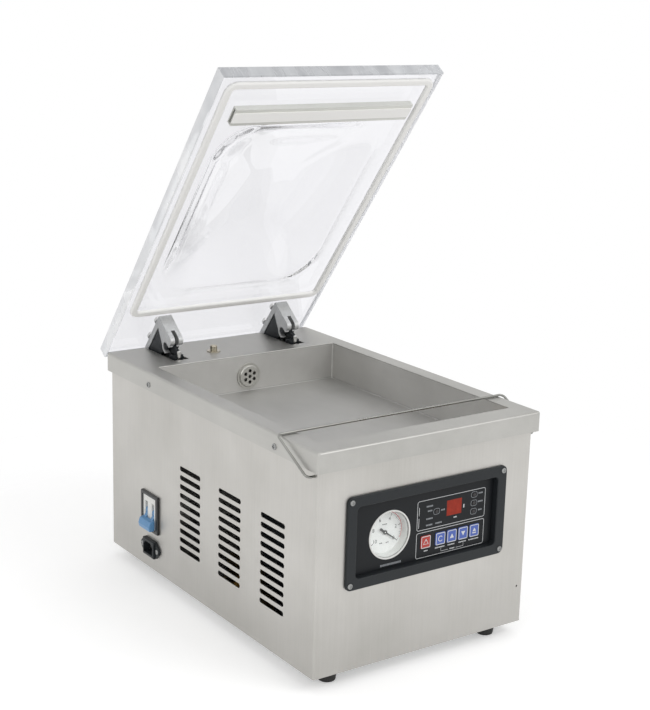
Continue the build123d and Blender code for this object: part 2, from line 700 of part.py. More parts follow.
# Suction port: a perforated cap on the chamber's back wall, with its pipe and hose barb behind
with BuildPart() as suction_fitting:
    with BuildSketch(Plane.YZ) as port_side:
        with BuildLine():
            Polyline(
                (CHAMBER_Y1 - PORT_DISC_T, PORT_Z),
                (CHAMBER_Y1 - PORT_DISC_T, PORT_Z + PORT_DISC_R - PORT_DISC_EDGE),
                (CHAMBER_Y1 - PORT_DISC_T + PORT_DISC_EDGE, PORT_Z + PORT_DISC_R),
                (CHAMBER_Y1 - PORT_SEAT_T, PORT_Z + PORT_DISC_R),
                (CHAMBER_Y1 - PORT_SEAT_T, PORT_Z + PORT_SEAT_R),
                (CHAMBER_Y1, PORT_Z + PORT_SEAT_R),
                (CHAMBER_Y1, PORT_Z + PORT_PIPE_R),
                (PORT_PIPE_END, PORT_Z + PORT_PIPE_R),
                (PORT_PIPE_END, PORT_Z + PORT_BARB_R),
                (PORT_END, PORT_Z + PORT_BARB_R),
                (PORT_END, PORT_Z + PORT_BARB_BORE),
                (PORT_PIPE_END - CHAMBER_SHEET, PORT_Z + PORT_BARB_BORE),
                (PORT_PIPE_END - CHAMBER_SHEET, PORT_Z + PORT_BORE_R),
                (CHAMBER_Y1, PORT_Z + PORT_BORE_R),
                (CHAMBER_Y1, PORT_Z),
                close=True,
            )
        make_face()
    revolve(axis=Axis((0, 0, PORT_Z), (0, 1, 0)))
    with BuildSketch(front_plane(CHAMBER_Y1 - PORT_DISC_T, PORT_Z)):
        Circle(PORT_HOLE_R)
        with PolarLocations(PORT_HOLE_RING, PORT_HOLES, start_angle=PORT_HOLE_START):
            Circle(PORT_HOLE_R)
    extrude(amount=-PORT_DISC_T, mode=Mode.SUBTRACT)
finish(suction_fitting, "suction_fitting")

# Lid: a thick clear slab, blown up into a shallow dome inside its flat border
with BuildPart() as lid:
    with BuildSketch(lid_plane(LID_UNDER)):
        with Locations((0, LID_FRONT + LID_L / 2)):
            Rectangle(LID_W, LID_L)
    extrude(amount=LID_T)
    chamfer(lid.edges(), LID_EDGE)
    with BuildSketch(lid_plane(LID_UNDER + LID_T)):
        with Locations((0, DOME_MID)):
            RectangleRounded(DOME_W + DOME_WALL, DOME_L + DOME_WALL, DOME_CORNER + DOME_WALL / 2)
    extrude(amount=DOME_RISE, taper=DOME_LEAN_ANGLE)
    fillet(lid.faces().sort_by(LID_UP)[-1].edges(), DOME_CROWN_R)
    with BuildSketch(lid_plane(LID_UNDER)):
        with Locations((0, DOME_MID)):
            RectangleRounded(DOME_W, DOME_L, DOME_CORNER)
    hollow = extrude(amount=LID_T + DOME_RISE - DOME_WALL, taper=DOME_LEAN_ANGLE, mode=Mode.PRIVATE)
    add(hollow.fillet(DOME_CROWN_R, hollow.faces().sort_by(LID_UP)[-1].edges()), mode=Mode.SUBTRACT)
    with BuildSketch(lid_plane(LID_UNDER)):
        gasket_outline()
    extrude(amount=GASKET_SEATED, mode=Mode.SUBTRACT)
    with BuildSketch(lid_plane(LID_UNDER)):
        with Locations([(side * ARM_X, -reach) for side in SIDES for reach in BOLT_REACHES]):
            Circle(BOLT_R + FIT_GAP)
    extrude(amount=LID_T, mode=Mode.SUBTRACT)
finish(lid, "lid")

# Gasket: a soft white ring seated in a groove of the lid's border
with BuildPart() as lid_gasket:
    with BuildSketch(lid_plane(LID_UNDER - GASKET_PROUD)):
        gasket_outline()
    extrude(amount=GASKET_PROUD + GASKET_SEATED)
    fillet(lid_gasket.faces().sort_by(LID_UP)[0].edges(), GASKET_ROUND)
finish(lid_gasket, "lid_gasket")

# Counter bar: a hollow flat section under the lid, with a pad let into its face
with BuildPart() as counter_bar:
    with BuildSketch(lid_plane(LID_UNDER)):
        with Locations((0, COUNTER_MID)):
            Rectangle(COUNTER_LEN, COUNTER_W)
    extrude(amount=-COUNTER_H)
    with BuildSketch(arm_plane(-COUNTER_LEN / 2)):
        with Locations((COUNTER_MID, LID_UNDER - COUNTER_WALL)):
            bore_h = COUNTER_H - 2 * COUNTER_WALL - PAD_T + PAD_PROUD
            Rectangle(COUNTER_W - 2 * COUNTER_WALL, bore_h, align=(Align.CENTER, Align.MAX))
        with Locations((COUNTER_MID, LID_UNDER - COUNTER_H)):
            Rectangle(PAD_W, PAD_T - PAD_PROUD, align=(Align.CENTER, Align.MIN))
    extrude(amount=COUNTER_LEN, mode=Mode.SUBTRACT)
finish(counter_bar, "counter_bar")

with BuildPart() as counter_bar_pad:
    with BuildSketch(lid_plane(LID_UNDER - COUNTER_H - PAD_PROUD)):
        with Locations((0, COUNTER_MID)):
            Rectangle(COUNTER_LEN, PAD_W)
    extrude(amount=PAD_T)
finish(counter_bar_pad, "counter_bar_pad")

# Hinge arms: cast angles with a nose and an open arch that holds the push rod's barrel
for arm_name, side in (("hinge_arm_left", -1), ("hinge_arm_right", 1)):
    with BuildPart() as hinge_arm:
        with BuildSketch(arm_plane(side * ARM_X)) as arm_side:
            with Locations((-ARM_PLATE_REACH, LID_UNDER)):
                Rectangle(ARM_PLATE_REACH + ARM_LEG_TAIL, ARM_LEG_T, align=(Align.MIN, Align.MAX))
                Rectangle(ARM_PLATE_T, LID_UNDER + ARM_NOSE_DROP, align=(Align.MIN, Align.MAX))
            with Locations((ARM_NOSE_R - ARM_PLATE_REACH, -ARM_NOSE_DROP)):
                Circle(ARM_NOSE_R)
            with BuildLine():
                Polyline(
                    (ARM_PLATE_T - ARM_PLATE_REACH, LEG_UNDER + ARM_LEG_T / 2),
                    (ARM_PLATE_T - ARM_PLATE_REACH + ARM_RIB_W, LEG_UNDER + ARM_LEG_T / 2),
                    (ARCH_R - ARCH_REACH, -ARCH_DROP),
                    (-ARCH_REACH, -ARCH_DROP),
                    (ARM_PLATE_T - ARM_PLATE_REACH, -ARCH_DROP),
                    close=True,
                )
            make_face()
            with Locations((-ARCH_REACH, -ARCH_DROP)):
                Circle(ARCH_R)
                Rectangle(ARCH_R, ARCH_TAIL, align=(Align.MIN, Align.MAX))
                Circle(ARCH_BORE_R, mode=Mode.SUBTRACT)
                Rectangle(2 * ARCH_BORE_R, 2 * ARCH_R, align=(Align.CENTER, Align.MAX), mode=Mode.SUBTRACT)
            with BuildLine():
                Polyline(
                    (-ARM_KNUCKLE_ROOT, LEG_UNDER + ARM_LEG_T / 2),
                    (ARM_LEG_TAIL, LEG_UNDER + ARM_LEG_T / 2),
                    (ARM_KNUCKLE_R, 0),
                    (-ARM_KNUCKLE_R, 0),
                    close=True,
                )
            make_face()
            Circle(ARM_KNUCKLE_R)
            Circle(HINGE_PIN_R + SHAFT_GAP, mode=Mode.SUBTRACT)
        extrude(amount=ARM_W / 2, both=True)
        with BuildSketch(arm_plane(side * ARM_X)) as arm_slot:
            with Locations((-ARM_PLATE_REACH, -ARM_SLOT_DROP)):
                slot_l = ARM_PLATE_REACH - ARCH_REACH + ARCH_R + RUN_GAP
                Rectangle(slot_l, 2 * ARM_NOSE_DROP, align=(Align.MIN, Align.MAX))
        extrude(amount=ARM_SLOT_W / 2, both=True, mode=Mode.SUBTRACT)
        with BuildSketch(lid_plane(LID_UNDER)):
            with Locations([(side * ARM_X, -reach) for reach in BOLT_REACHES]):
                Circle(BOLT_R + FIT_GAP)
        extrude(amount=-ARM_LEG_T, mode=Mode.SUBTRACT)
    finish(hinge_arm, arm_name)

# Bolts through the arms and the lid, with domed nuts on top
with BuildPart() as hinge_bolts:
    with BuildSketch(arm_plane(0)) as bolt_side:
        with BuildLine():
            Polyline(
                (0, LEG_UNDER - BOLT_HEAD_H),
                (BOLT_HEAD_R, LEG_UNDER - BOLT_HEAD_H),
                (BOLT_HEAD_R, LEG_UNDER),
                (BOLT_R, LEG_UNDER),
                (BOLT_R, LID_UNDER + LID_T),
                (BOLT_NUT_R, LID_UNDER + LID_T),
                (BOLT_NUT_R, LID_UNDER + LID_T + BOLT_NUT_H / 2),
                (BOLT_NUT_R / 2, LID_UNDER + LID_T + BOLT_NUT_H),
                (0, LID_UNDER + LID_T + BOLT_NUT_H),
                close=True,
            )
        make_face()
    bolt = revolve(axis=Axis((0, PIVOT_Y, PIVOT_Z), (0, OPEN_SIN, OPEN_COS)), mode=Mode.PRIVATE)
    for side in SIDES:
        for reach in BOLT_REACHES:
            with Locations((side * ARM_X, -reach * OPEN_COS, reach * OPEN_SIN)):
                add(bolt)
finish(hinge_bolts, "hinge_bolts")

# Hinge bases: channels under the deck, whose ears carry the hinge pins
with BuildPart() as hinge_bases:
    for side in SIDES:
        for ear in SIDES:
            with BuildSketch(Plane.YZ.offset(side * ARM_X + ear * (EAR_INNER + EAR_T / 2))):
                with Locations((PIVOT_Y + EAR_R, CASE_TOP)):
                    Rectangle(EAR_R + EAR_DEPTH, EAR_DROP, align=(Align.MAX, Align.MAX))
                with Locations((PIVOT_Y, PIVOT_Z)):
                    Circle(HINGE_PIN_R + SCREW_GAP / 2, mode=Mode.SUBTRACT)
            extrude(amount=EAR_T / 2, both=True)
        with BuildSketch(Plane.XY.offset(CASE_TOP - EAR_DROP)):
            with Locations((side * ARM_X, PIVOT_Y + EAR_R)):
                Rectangle(2 * EAR_OUTER, EAR_R + EAR_DEPTH, align=(Align.CENTER, Align.MAX))
        extrude(amount=EAR_T)
        with BuildSketch(Plane.XY.offset(CASE_TOP - EAR_T)):
            with Locations((side * ARM_X, PIVOT_Y)):
                Rectangle(2 * (EAR_OUTER + EAR_FLANGE), EAR_DEPTH, align=(Align.CENTER, Align.MAX))
                Rectangle(2 * EAR_INNER, 2 * EAR_DEPTH, align=(Align.CENTER, Align.MAX), mode=Mode.SUBTRACT)
        extrude(amount=EAR_T)
finish(hinge_bases, "hinge_bases")

with BuildPart() as hinge_pins:
    for side in SIDES:
        with BuildSketch(Plane.YZ.offset(side * ARM_X)):
            with Locations((PIVOT_Y, PIVOT_Z)):
                Circle(HINGE_PIN_R)
        extrude(amount=EAR_OUTER, both=True)
        for end in SIDES:
            with BuildSketch(Plane.YZ.offset(side * ARM_X + end * EAR_OUTER)):
                with Locations((PIVOT_Y, PIVOT_Z)):
                    Circle(HINGE_PIN_HEAD_R)
            extrude(amount=end * HINGE_PIN_HEAD_T)
finish(hinge_pins, "hinge_pins")

# Push rods: head with its barrel in the arm's arch, and the rod clamped in front of it
for hand, side in (("left", -1), ("right", 1)):
    with BuildPart() as rod_head:
        with BuildSketch(Plane.YZ.offset(side * ARM_X)) as tongue:
            with Locations((BARREL_Y, BARREL_Z)):
                Circle(HEAD_LOBE_R)
            with BuildLine():
                Polyline(
                    (BARREL_Y, BARREL_Z + HEAD_LOBE_R),
                    (ROD_Y + ROD_R, BARREL_Z - ROD_TOP_DROP),
                    (ROD_Y + ROD_R, BARREL_Z - HEAD_BLOCK_TOP),
                    (BARREL_Y, BARREL_Z - HEAD_BLOCK_TOP),
                    (BARREL_Y + HEAD_LOBE_R, BARREL_Z),
                    close=True,
                )
            make_face()
        extrude(amount=HEAD_TONGUE_T / 2, both=True)
        with BuildSketch(Plane.YZ.offset(side * ARM_X)):
            with Locations((ROD_Y, BARREL_Z - HEAD_BLOCK_TOP)):
                block_l = ROD_OFFSET - HEAD_BLOCK_BACK
                Rectangle(block_l, HEAD_BLOCK_H, align=(Align.MIN, Align.MAX))
        extrude(amount=HEAD_BLOCK_W / 2, both=True)
        with BuildSketch(Plane.YZ.offset(side * ARM_X)):
            with Locations((BARREL_Y, BARREL_Z)):
                Circle(BARREL_R)
        extrude(amount=BARREL_L / 2, both=True)
        with BuildSketch(Plane.XY.offset(ROD_TOP)):
            with Locations((side * ARM_X, ROD_Y)):
                Circle(ROD_R)
        extrude(amount=-2 * HEAD_BLOCK_H, mode=Mode.SUBTRACT)
    finish(rod_head, f"rod_head_{hand}")

    with BuildPart() as push_rod:
        with BuildSketch(Plane.XY.offset(ROD_TOP)):
            with Locations((side * ARM_X, ROD_Y)):
                Circle(ROD_R)
        extrude(amount=-ROD_L)
        fillet(push_rod.edges().filter_by(GeomType.CIRCLE), ROD_TIP)
    finish(push_rod, f"push_rod_{hand}")

# Springs round the rods, seated on slotted brackets of the rear panel
with BuildPart() as lid_springs:
    for side in SIDES:
        with BuildLine() as coil:
            Helix(
                SPRING_L / SPRING_TURNS, SPRING_L, SPRING_R,
                center=(side * ARM_X, ROD_Y, SHELF_TOP + SPRING_WIRE_R),
            )
        with BuildSketch(Plane(coil.line @ 0, z_dir=coil.line % 0)):
            Circle(SPRING_WIRE_R)
        sweep()
finish(lid_springs, "lid_springs")

with BuildPart() as rod_brackets:
    for side in SIDES:
        with BuildSketch(Plane.XY.offset(SHELF_TOP)):
            with Locations((side * ARM_X, CASE_REAR)):
                shelf_l = CASE_REAR - ROD_Y + BRACKET_NOSE
                Rectangle(BRACKET_W, shelf_l, align=(Align.CENTER, Align.MAX))
            with Locations((side * ARM_X, ROD_Y - BRACKET_SLOT_REACH / 2)):
                slot_w = 2 * (ROD_R + RUN_GAP)
                SlotOverall(slot_w + BRACKET_SLOT_REACH, slot_w, rotation=90, mode=Mode.SUBTRACT)
        extrude(amount=-BRACKET_T)
        with BuildSketch(front_plane(CASE_REAR, SHELF_TOP)):
            with Locations((side * ARM_X, 0)):
                Rectangle(BRACKET_W, BRACKET_LIP, align=(Align.CENTER, Align.MAX))
        extrude(amount=BRACKET_T)
        for cheek in SIDES:
            with BuildSketch(Plane.YZ.offset(side * ARM_X + cheek * (BRACKET_W - BRACKET_T) / 2)):
                with BuildLine():
                    Polyline(
                        (CASE_REAR, SHELF_TOP),
                        (CASE_REAR, SHELF_TOP - BRACKET_LIP),
                        (ROD_Y, SHELF_TOP - BRACKET_T),
                        (ROD_Y, SHELF_TOP),
                        close=True,
                    )
                make_face()
            extrude(amount=BRACKET_T / 2, both=True)
finish(rod_brackets, "rod_brackets")

# Hold-down bail: one bent wire, pivoting in the casing's sides and lying across the rims
with BuildPart() as hold_down_bail:
    with BuildLine() as bail_path:
        FilletPolyline(
            (-CASE_X + CASE_SHEET + BAIL_TUCK, BAIL_PIVOT_Y, BAIL_PIVOT_Z),
            (-BAIL_X, BAIL_PIVOT_Y, BAIL_PIVOT_Z),
            (-BAIL_X, BAIL_BAR_Y, BAIL_BAR_Z),
            (BAIL_X, BAIL_BAR_Y, BAIL_BAR_Z),
            (BAIL_X, BAIL_PIVOT_Y, BAIL_PIVOT_Z),
            (CASE_X - CASE_SHEET - BAIL_TUCK, BAIL_PIVOT_Y, BAIL_PIVOT_Z),
            radius=BAIL_BEND,
        )
    with BuildSketch(Plane(bail_path.line @ 0, z_dir=bail_path.line % 0)):
        Circle(WIRE_R)
    sweep()
finish(hold_down_bail, "hold_down_bail")

# Seal bar with its element and release tape, on two posts through the chamber floor
with BuildPart() as seal_bar:
    with BuildSketch(Plane.XY.offset(SEAL_BAR_TOP)):
        with Locations((0, SEAL_Y)):
            Rectangle(SEAL_L, SEAL_W)
    extrude(amount=-SEAL_H)
finish(seal_bar, "seal_bar")

with BuildPart() as heating_element:
    with BuildSketch(Plane.XY.offset(SEAL_BAR_TOP)):
        with Locations((0, SEAL_Y)):
            with GridLocations(1, ELEMENT_PITCH, 1, 2):
                Rectangle(SEAL_L, ELEMENT_W)
    extrude(amount=ELEMENT_T)
finish(heating_element, "heating_element")

with BuildPart() as release_tape:
    with BuildSketch(Plane.YZ) as tape_side:
        with Locations((SEAL_Y, SEAL_TOP)):
            Rectangle(SEAL_W + 2 * TAPE_T, TAPE_SIDE, align=(Align.CENTER, Align.MAX))
            Rectangle(SEAL_W, 2 * (TAPE_T + ELEMENT_T), mode=Mode.SUBTRACT)
        with Locations((SEAL_Y, SEAL_TOP - TAPE_T - ELEMENT_T)):
            Rectangle(SEAL_W, TAPE_SIDE, align=(Align.CENTER, Align.MAX), mode=Mode.SUBTRACT)
        with Locations((SEAL_Y, SEAL_TOP)):
            Rectangle(SEAL_W, TAPE_T, align=(Align.CENTER, Align.MAX))
    extrude(amount=SEAL_L / 2, both=True)
finish(release_tape, "release_tape")

with BuildPart() as lift_posts:
    with BuildSketch(Plane.XY.offset(SEAL_BAR_TOP - SEAL_H)):
        with Locations((-POST_X, SEAL_Y), (POST_X, SEAL_Y)):
            Circle(POST_R)
    extrude(amount=-POST_L)
finish(lift_posts, "lift_posts")

with BuildPart() as lift_cylinders:
    for side in SIDES:
        with BuildSketch(Plane.XY.offset(TUB_BOTTOM)):
            with Locations((side * POST_X, SEAL_Y)):
                Circle(LIFTER_COLLAR_R)
        extrude(amount=-LIFTER_COLLAR_T)
        with BuildSketch(Plane.XY.offset(TUB_BOTTOM)):
            with Locations((side * POST_X, SEAL_Y)):
                Circle(LIFTER_R)
        extrude(amount=-LIFTER_H)
        with BuildSketch(Plane.XY.offset(TUB_BOTTOM)):
            with Locations((side * POST_X, SEAL_Y)):
                Circle(POST_R + SHAFT_GAP)
        extrude(amount=LIFTER_FLOOR - LIFTER_H, mode=Mode.SUBTRACT)
finish(lift_cylinders, "lift_cylinders")

# Control panel: bezel with its sunk tray, printed overlay, keys, window and lamps
with BuildPart() as panel_bezel:
    with BuildSketch(front_plane(CASE_FRONT, PANEL_Z)):
        RectangleRounded(BEZEL_W, BEZEL_H, BEZEL_R)
    extrude(amount=BEZEL_PROUD)
    fillet(panel_bezel.faces().sort_by(Axis.Y)[0].edges(), BEZEL_EDGE)
    with BuildSketch(front_plane(CASE_FRONT, PANEL_Z)):
        Rectangle(RECESS_W + 2 * BEZEL_WALL, RECESS_H + 2 * BEZEL_WALL)
    extrude(amount=CASE_FRONT - TRAY_BACK)
    with BuildSketch(front_plane(RECESS_FLOOR, PANEL_Z)):
        RectangleRounded(RECESS_W, RECESS_H, RECESS_R)
    extrude(amount=RECESS_D, mode=Mode.SUBTRACT)
    fillet(panel_bezel.faces().sort_by(Axis.Y)[0].inner_wires()[0].edges(), BEZEL_EDGE)
    with BuildSketch(front_plane(BEZEL_FRONT, PANEL_Z)):
        panel_holes()
        with GridLocations(2 * PANEL_SCREW_X, 2 * PANEL_SCREW_Z, 2, 2):
            Circle(PANEL_SCREW_R + SCREW_GAP)
    extrude(amount=BEZEL_FRONT - TRAY_BACK, mode=Mode.SUBTRACT)
finish(panel_bezel, "panel_bezel")

with BuildPart() as panel_overlay:
    with BuildSketch(front_plane(RECESS_FLOOR, PANEL_Z)):
        RectangleRounded(RECESS_W - 2 * OVERLAY_GAP, RECESS_H - 2 * OVERLAY_GAP, RECESS_R - OVERLAY_GAP)
    extrude(amount=OVERLAY_T)
    with BuildSketch(front_plane(RECESS_FLOOR, PANEL_Z)):
        panel_holes()
    extrude(amount=OVERLAY_T, mode=Mode.SUBTRACT)
finish(panel_overlay, "panel_overlay")

for key_name, key_x in KEY_PLACES.items():
    with BuildPart() as key:
        with BuildSketch(front_plane(KEY_BACK, PANEL_Z - KEY_DROP)):
            with Locations((key_x, 0)):
                RectangleRounded(KEY_W, KEY_H, KEY_R)
        extrude(amount=KEY_DEPTH)
        chamfer(key.faces().sort_by(Axis.Y)[0].edges(), KEY_PROUD / 2)
    finish(key, key_name)

with BuildPart() as display_window:
    with BuildSketch(front_plane(TRAY_BACK, PANEL_Z)):
        with Locations((DISPLAY_X, DISPLAY_RISE)):
            Rectangle(DISPLAY_W, DISPLAY_H)
    extrude(amount=TRAY_BACK - OVERLAY_FRONT)
finish(display_window, "display_window")

with BuildPart() as indicator_lamps:
    with BuildSketch(front_plane(TRAY_BACK, PANEL_Z)):
        with Locations(LAMP_PLACES):
            Circle(LAMP_R)
    extrude(amount=TRAY_BACK - OVERLAY_FRONT + LAMP_PROUD)
finish(indicator_lamps, "indicator_lamps")

# Control board on four posts behind the tray, with a switch behind each key
with BuildPart() as control_board:
    with BuildSketch(front_plane(BOARD_FRONT, PANEL_Z)):
        with Locations((BOARD_X, 0)):
            Rectangle(BOARD_W, BOARD_H)
    extrude(amount=-BOARD_T)
    with BuildSketch(front_plane(BOARD_FRONT, PANEL_Z)):
        with Locations((BOARD_X, 0)):
            with GridLocations(BOARD_W - 2 * BOARD_POST_INSET, BOARD_H - 2 * BOARD_POST_INSET, 2, 2):
                Circle(BOARD_POST_R)
    extrude(amount=BOARD_GAP)
    with BuildSketch(front_plane(BOARD_FRONT, PANEL_Z)):
        with Locations(key_places()):
            Rectangle(SWITCH_SIZE, SWITCH_SIZE)
    extrude(amount=BOARD_FRONT - KEY_BACK - KEY_TRAVEL - RUN_GAP)
    with BuildSketch(front_plane(BOARD_FRONT, PANEL_Z)):
        with Locations((DISPLAY_X, DISPLAY_RISE)):
            Rectangle(DISPLAY_W, DISPLAY_H)
        with Locations(LAMP_PLACES):
            Circle(LAMP_R)
    extrude(amount=BOARD_GAP)
finish(control_board, "control_board")

# Gauge: cup, dial, lens and a needle on its spindle
with BuildPart() as gauge_case:
    with BuildSketch(Plane.YZ.offset(GAUGE_X)) as gauge_side:
        with BuildLine():
            Polyline(
                (GAUGE_FRONT, GAUGE_Z + GAUGE_INNER_R),
                (GAUGE_FRONT, GAUGE_Z + GAUGE_R),
                (GAUGE_BACK, GAUGE_Z + GAUGE_R),
                (GAUGE_BACK, GAUGE_Z + GAUGE_STEM_R),
                (GAUGE_BACK + GAUGE_STEM_L, GAUGE_Z + GAUGE_STEM_R),
                (GAUGE_BACK + GAUGE_STEM_L, GAUGE_Z),
                (DIAL_BACK, GAUGE_Z),
                (DIAL_BACK, GAUGE_Z + GAUGE_STEM_R),
                (GAUGE_BACK - GAUGE_BACK_T, GAUGE_Z + GAUGE_STEM_R),
                (GAUGE_BACK - GAUGE_BACK_T, GAUGE_Z + DIAL_R),
                (DIAL_FRONT, GAUGE_Z + DIAL_R),
                (LENS_BACK, GAUGE_Z + GAUGE_INNER_R - GAUGE_SHOULDER),
                (LENS_BACK, GAUGE_Z + GAUGE_INNER_R),
                close=True,
            )
        make_face()
    revolve(axis=Axis((GAUGE_X, 0, GAUGE_Z), (0, 1, 0)))
finish(gauge_case, "gauge_case")

with BuildPart() as gauge_dial:
    with BuildSketch(front_plane(DIAL_BACK, GAUGE_Z)):
        with Locations((GAUGE_X, 0)):
            Circle(DIAL_R)
    extrude(amount=DIAL_T)
    with BuildSketch(front_plane(DIAL_BACK, GAUGE_Z)):
        with Locations((GAUGE_X, 0)):
            Circle(SPINDLE_R)
    extrude(amount=DIAL_T + NEEDLE_GAP + NEEDLE_T)
finish(gauge_dial, "gauge_dial")

with BuildPart() as gauge_needle:
    needle_plane = Plane(
        origin=(GAUGE_X, DIAL_FRONT - NEEDLE_GAP, GAUGE_Z),
        x_dir=(cos(radians(NEEDLE_REST_ANGLE)), 0, sin(radians(NEEDLE_REST_ANGLE))),
        z_dir=(0, -1, 0),
    )
    with BuildSketch(needle_plane):
        with BuildLine():
            Polyline(
                (-NEEDLE_TAIL, -NEEDLE_TAIL_W / 2),
                (NEEDLE_LEN, -NEEDLE_TIP_W / 2),
                (NEEDLE_LEN, NEEDLE_TIP_W / 2),
                (-NEEDLE_TAIL, NEEDLE_TAIL_W / 2),
                close=True,
            )
        make_face()
        Circle(NEEDLE_HUB_R)
        Circle(SPINDLE_R + SHAFT_GAP, mode=Mode.SUBTRACT)
    extrude(amount=NEEDLE_T)
finish(gauge_needle, "gauge_needle")

with BuildPart() as gauge_lens:
    with BuildSketch(front_plane(LENS_BACK, GAUGE_Z)):
        with Locations((GAUGE_X, 0)):
            Circle(GAUGE_INNER_R)
    extrude(amount=LENS_T)
finish(gauge_lens, "gauge_lens")

# Circuit breaker: frame, body with a slot for each pole, and the tied toggle on its pin
with BuildPart() as breaker_frame:
    with BuildSketch(side_plane(-CASE_X)):
        with Locations((-BREAKER_Y, BREAKER_Z)):
            RectangleRounded(BREAKER_FRAME_W, BREAKER_FRAME_H, BREAKER_FRAME_R)
    extrude(amount=BREAKER_PROUD)
    fillet(breaker_frame.faces().sort_by(Axis.X)[0].edges(), BEZEL_EDGE)
    with BuildSketch(side_plane(-CASE_X)):
        with Locations((-BREAKER_Y, BREAKER_Z)):
            Rectangle(BREAKER_W, BREAKER_H)
    extrude(amount=BREAKER_PROUD, mode=Mode.SUBTRACT)
finish(breaker_frame, "breaker_frame")

with BuildPart() as breaker_body:
    with BuildSketch(side_plane(BREAKER_FACE)):
        with Locations((-BREAKER_Y, BREAKER_Z)):
            Rectangle(BREAKER_W, BREAKER_H)
    extrude(amount=-BREAKER_DEPTH)
    with BuildSketch(side_plane(BREAKER_FACE)):
        with Locations((-BREAKER_Y, BREAKER_Z)):
            with GridLocations(POLE_WIDTH, 1, 2, 1):
                Rectangle(TOGGLE_ARM_W + 2 * RUN_GAP, TOGGLE_SLOT_H)
    extrude(amount=-TOGGLE_SET - TOGGLE_HUB_R - RUN_GAP, mode=Mode.SUBTRACT)
    with BuildSketch(front_plane(BREAKER_Y)):
        with Locations((TOGGLE_X, BREAKER_Z)):
            Circle(TOGGLE_PIN_R + SHAFT_GAP)
    extrude(amount=TOGGLE_PIN_HALF + RUN_GAP, both=True, mode=Mode.SUBTRACT)
finish(breaker_body, "breaker_body")

with BuildPart() as breaker_toggle:
    toggle_plane = Plane(
        origin=(TOGGLE_X, BREAKER_Y, BREAKER_Z),
        x_dir=(-cos(radians(TOGGLE_REST_ANGLE)), 0, -sin(radians(TOGGLE_REST_ANGLE))),
        z_dir=(0, 1, 0),
    )
    with BuildSketch(Plane(origin=toggle_plane.origin, x_dir=(-1, 0, 0), z_dir=(0, 1, 0))):
        with BuildLine():
            Polyline(*TOGGLE_GRIP, close=True)
        make_face()
    extrude(amount=TOGGLE_W / 2, both=True)
    fillet(breaker_toggle.edges(), TOGGLE_GRIP_EDGE)
    for pole in SIDES:
        with BuildSketch(toggle_plane.offset(pole * POLE_WIDTH / 2)):
            Circle(TOGGLE_HUB_R)
            Rectangle(TOGGLE_ARM_L, TOGGLE_ARM_T, align=(Align.MIN, Align.CENTER))
        extrude(amount=TOGGLE_ARM_W / 2, both=True)
    with BuildSketch(toggle_plane):
        Circle(TOGGLE_PIN_R)
    extrude(amount=TOGGLE_PIN_HALF, both=True)
finish(breaker_toggle, "breaker_toggle")

# Mains inlet: flange with its collar, keyed socket and three blades
with BuildPart() as inlet_housing:
    with BuildSketch(side_plane(-CASE_X)):
        with Locations((-INLET_Y, INLET_Z)):
            Rectangle(INLET_COLLAR_W, INLET_H)
            with GridLocations(INLET_W - 2 * INLET_END_R, 1, 2, 1):
                Circle(INLET_END_R)
        make_hull()
    extrude(amount=INLET_FLANGE_T)
    with BuildSketch(side_plane(-CASE_X - INLET_FLANGE_T)):
        with Locations((-INLET_Y, INLET_Z)):
            Rectangle(INLET_COLLAR_W, INLET_H)
    extrude(amount=INLET_COLLAR_T)
    fillet(inlet_housing.faces().sort_by(Axis.X)[0].edges(), BEZEL_EDGE)
    with BuildSketch(side_plane(-CASE_X)):
        with Locations((-INLET_Y, INLET_Z)):
            Rectangle(INLET_BODY_W, INLET_BODY_H)
    extrude(amount=-INLET_BODY_D)
    with BuildSketch(side_plane(INLET_FACE)) as socket:
        with Locations((-INLET_Y, INLET_Z)):
            Rectangle(INLET_SOCKET_W, INLET_SOCKET_H)
        chamfer(socket.vertices().sort_by(Axis.Y)[2:], INLET_SOCKET_CUT)
    extrude(amount=-INLET_SOCKET_D, mode=Mode.SUBTRACT)
    with BuildSketch(side_plane(-CASE_X)):
        with Locations((-INLET_Y, INLET_Z)):
            with GridLocations(INLET_SCREW_PITCH, 1, 2, 1):
                Circle(PANEL_SCREW_R + SCREW_GAP)
    extrude(amount=INLET_FLANGE_T, mode=Mode.SUBTRACT)
finish(inlet_housing, "inlet_housing")

with BuildPart() as inlet_blades:
    with BuildSketch(side_plane(SOCKET_FLOOR)):
        with Locations((-INLET_Y, INLET_Z)):
            with Locations((-BLADE_PITCH / 2, -BLADE_RISE), (BLADE_PITCH / 2, -BLADE_RISE), (0, BLADE_RISE)):
                Rectangle(BLADE_W, BLADE_H)
    extrude(amount=BLADE_L)
finish(inlet_blades, "inlet_blades")

# Screws: one kind holds the deck and the rear panel, a smaller kind the panel and the inlet
with BuildPart() as casing_screws:
    for side in SIDES:
        for across in DECK_SCREW_Y:
            pan_screw(
                Plane(origin=(side * DECK_W / 2, across, DECK_H - DECK_SCREW_DROP), z_dir=(side, 0, 0)),
                SCREW_R, SCREW_HEAD_R, SCREW_HEAD_H, SCREW_L,
            )
        for height in REAR_SCREW_Z:
            rear_x = side * (CASE_X - REAR_SCREW_INSET)
            pan_screw(
                Plane(origin=(rear_x, CASE_REAR + REAR_SHEET, height), z_dir=(0, 1, 0)),
                SCREW_R, SCREW_HEAD_R, SCREW_HEAD_H, SCREW_L,
            )
finish(casing_screws, "casing_screws")

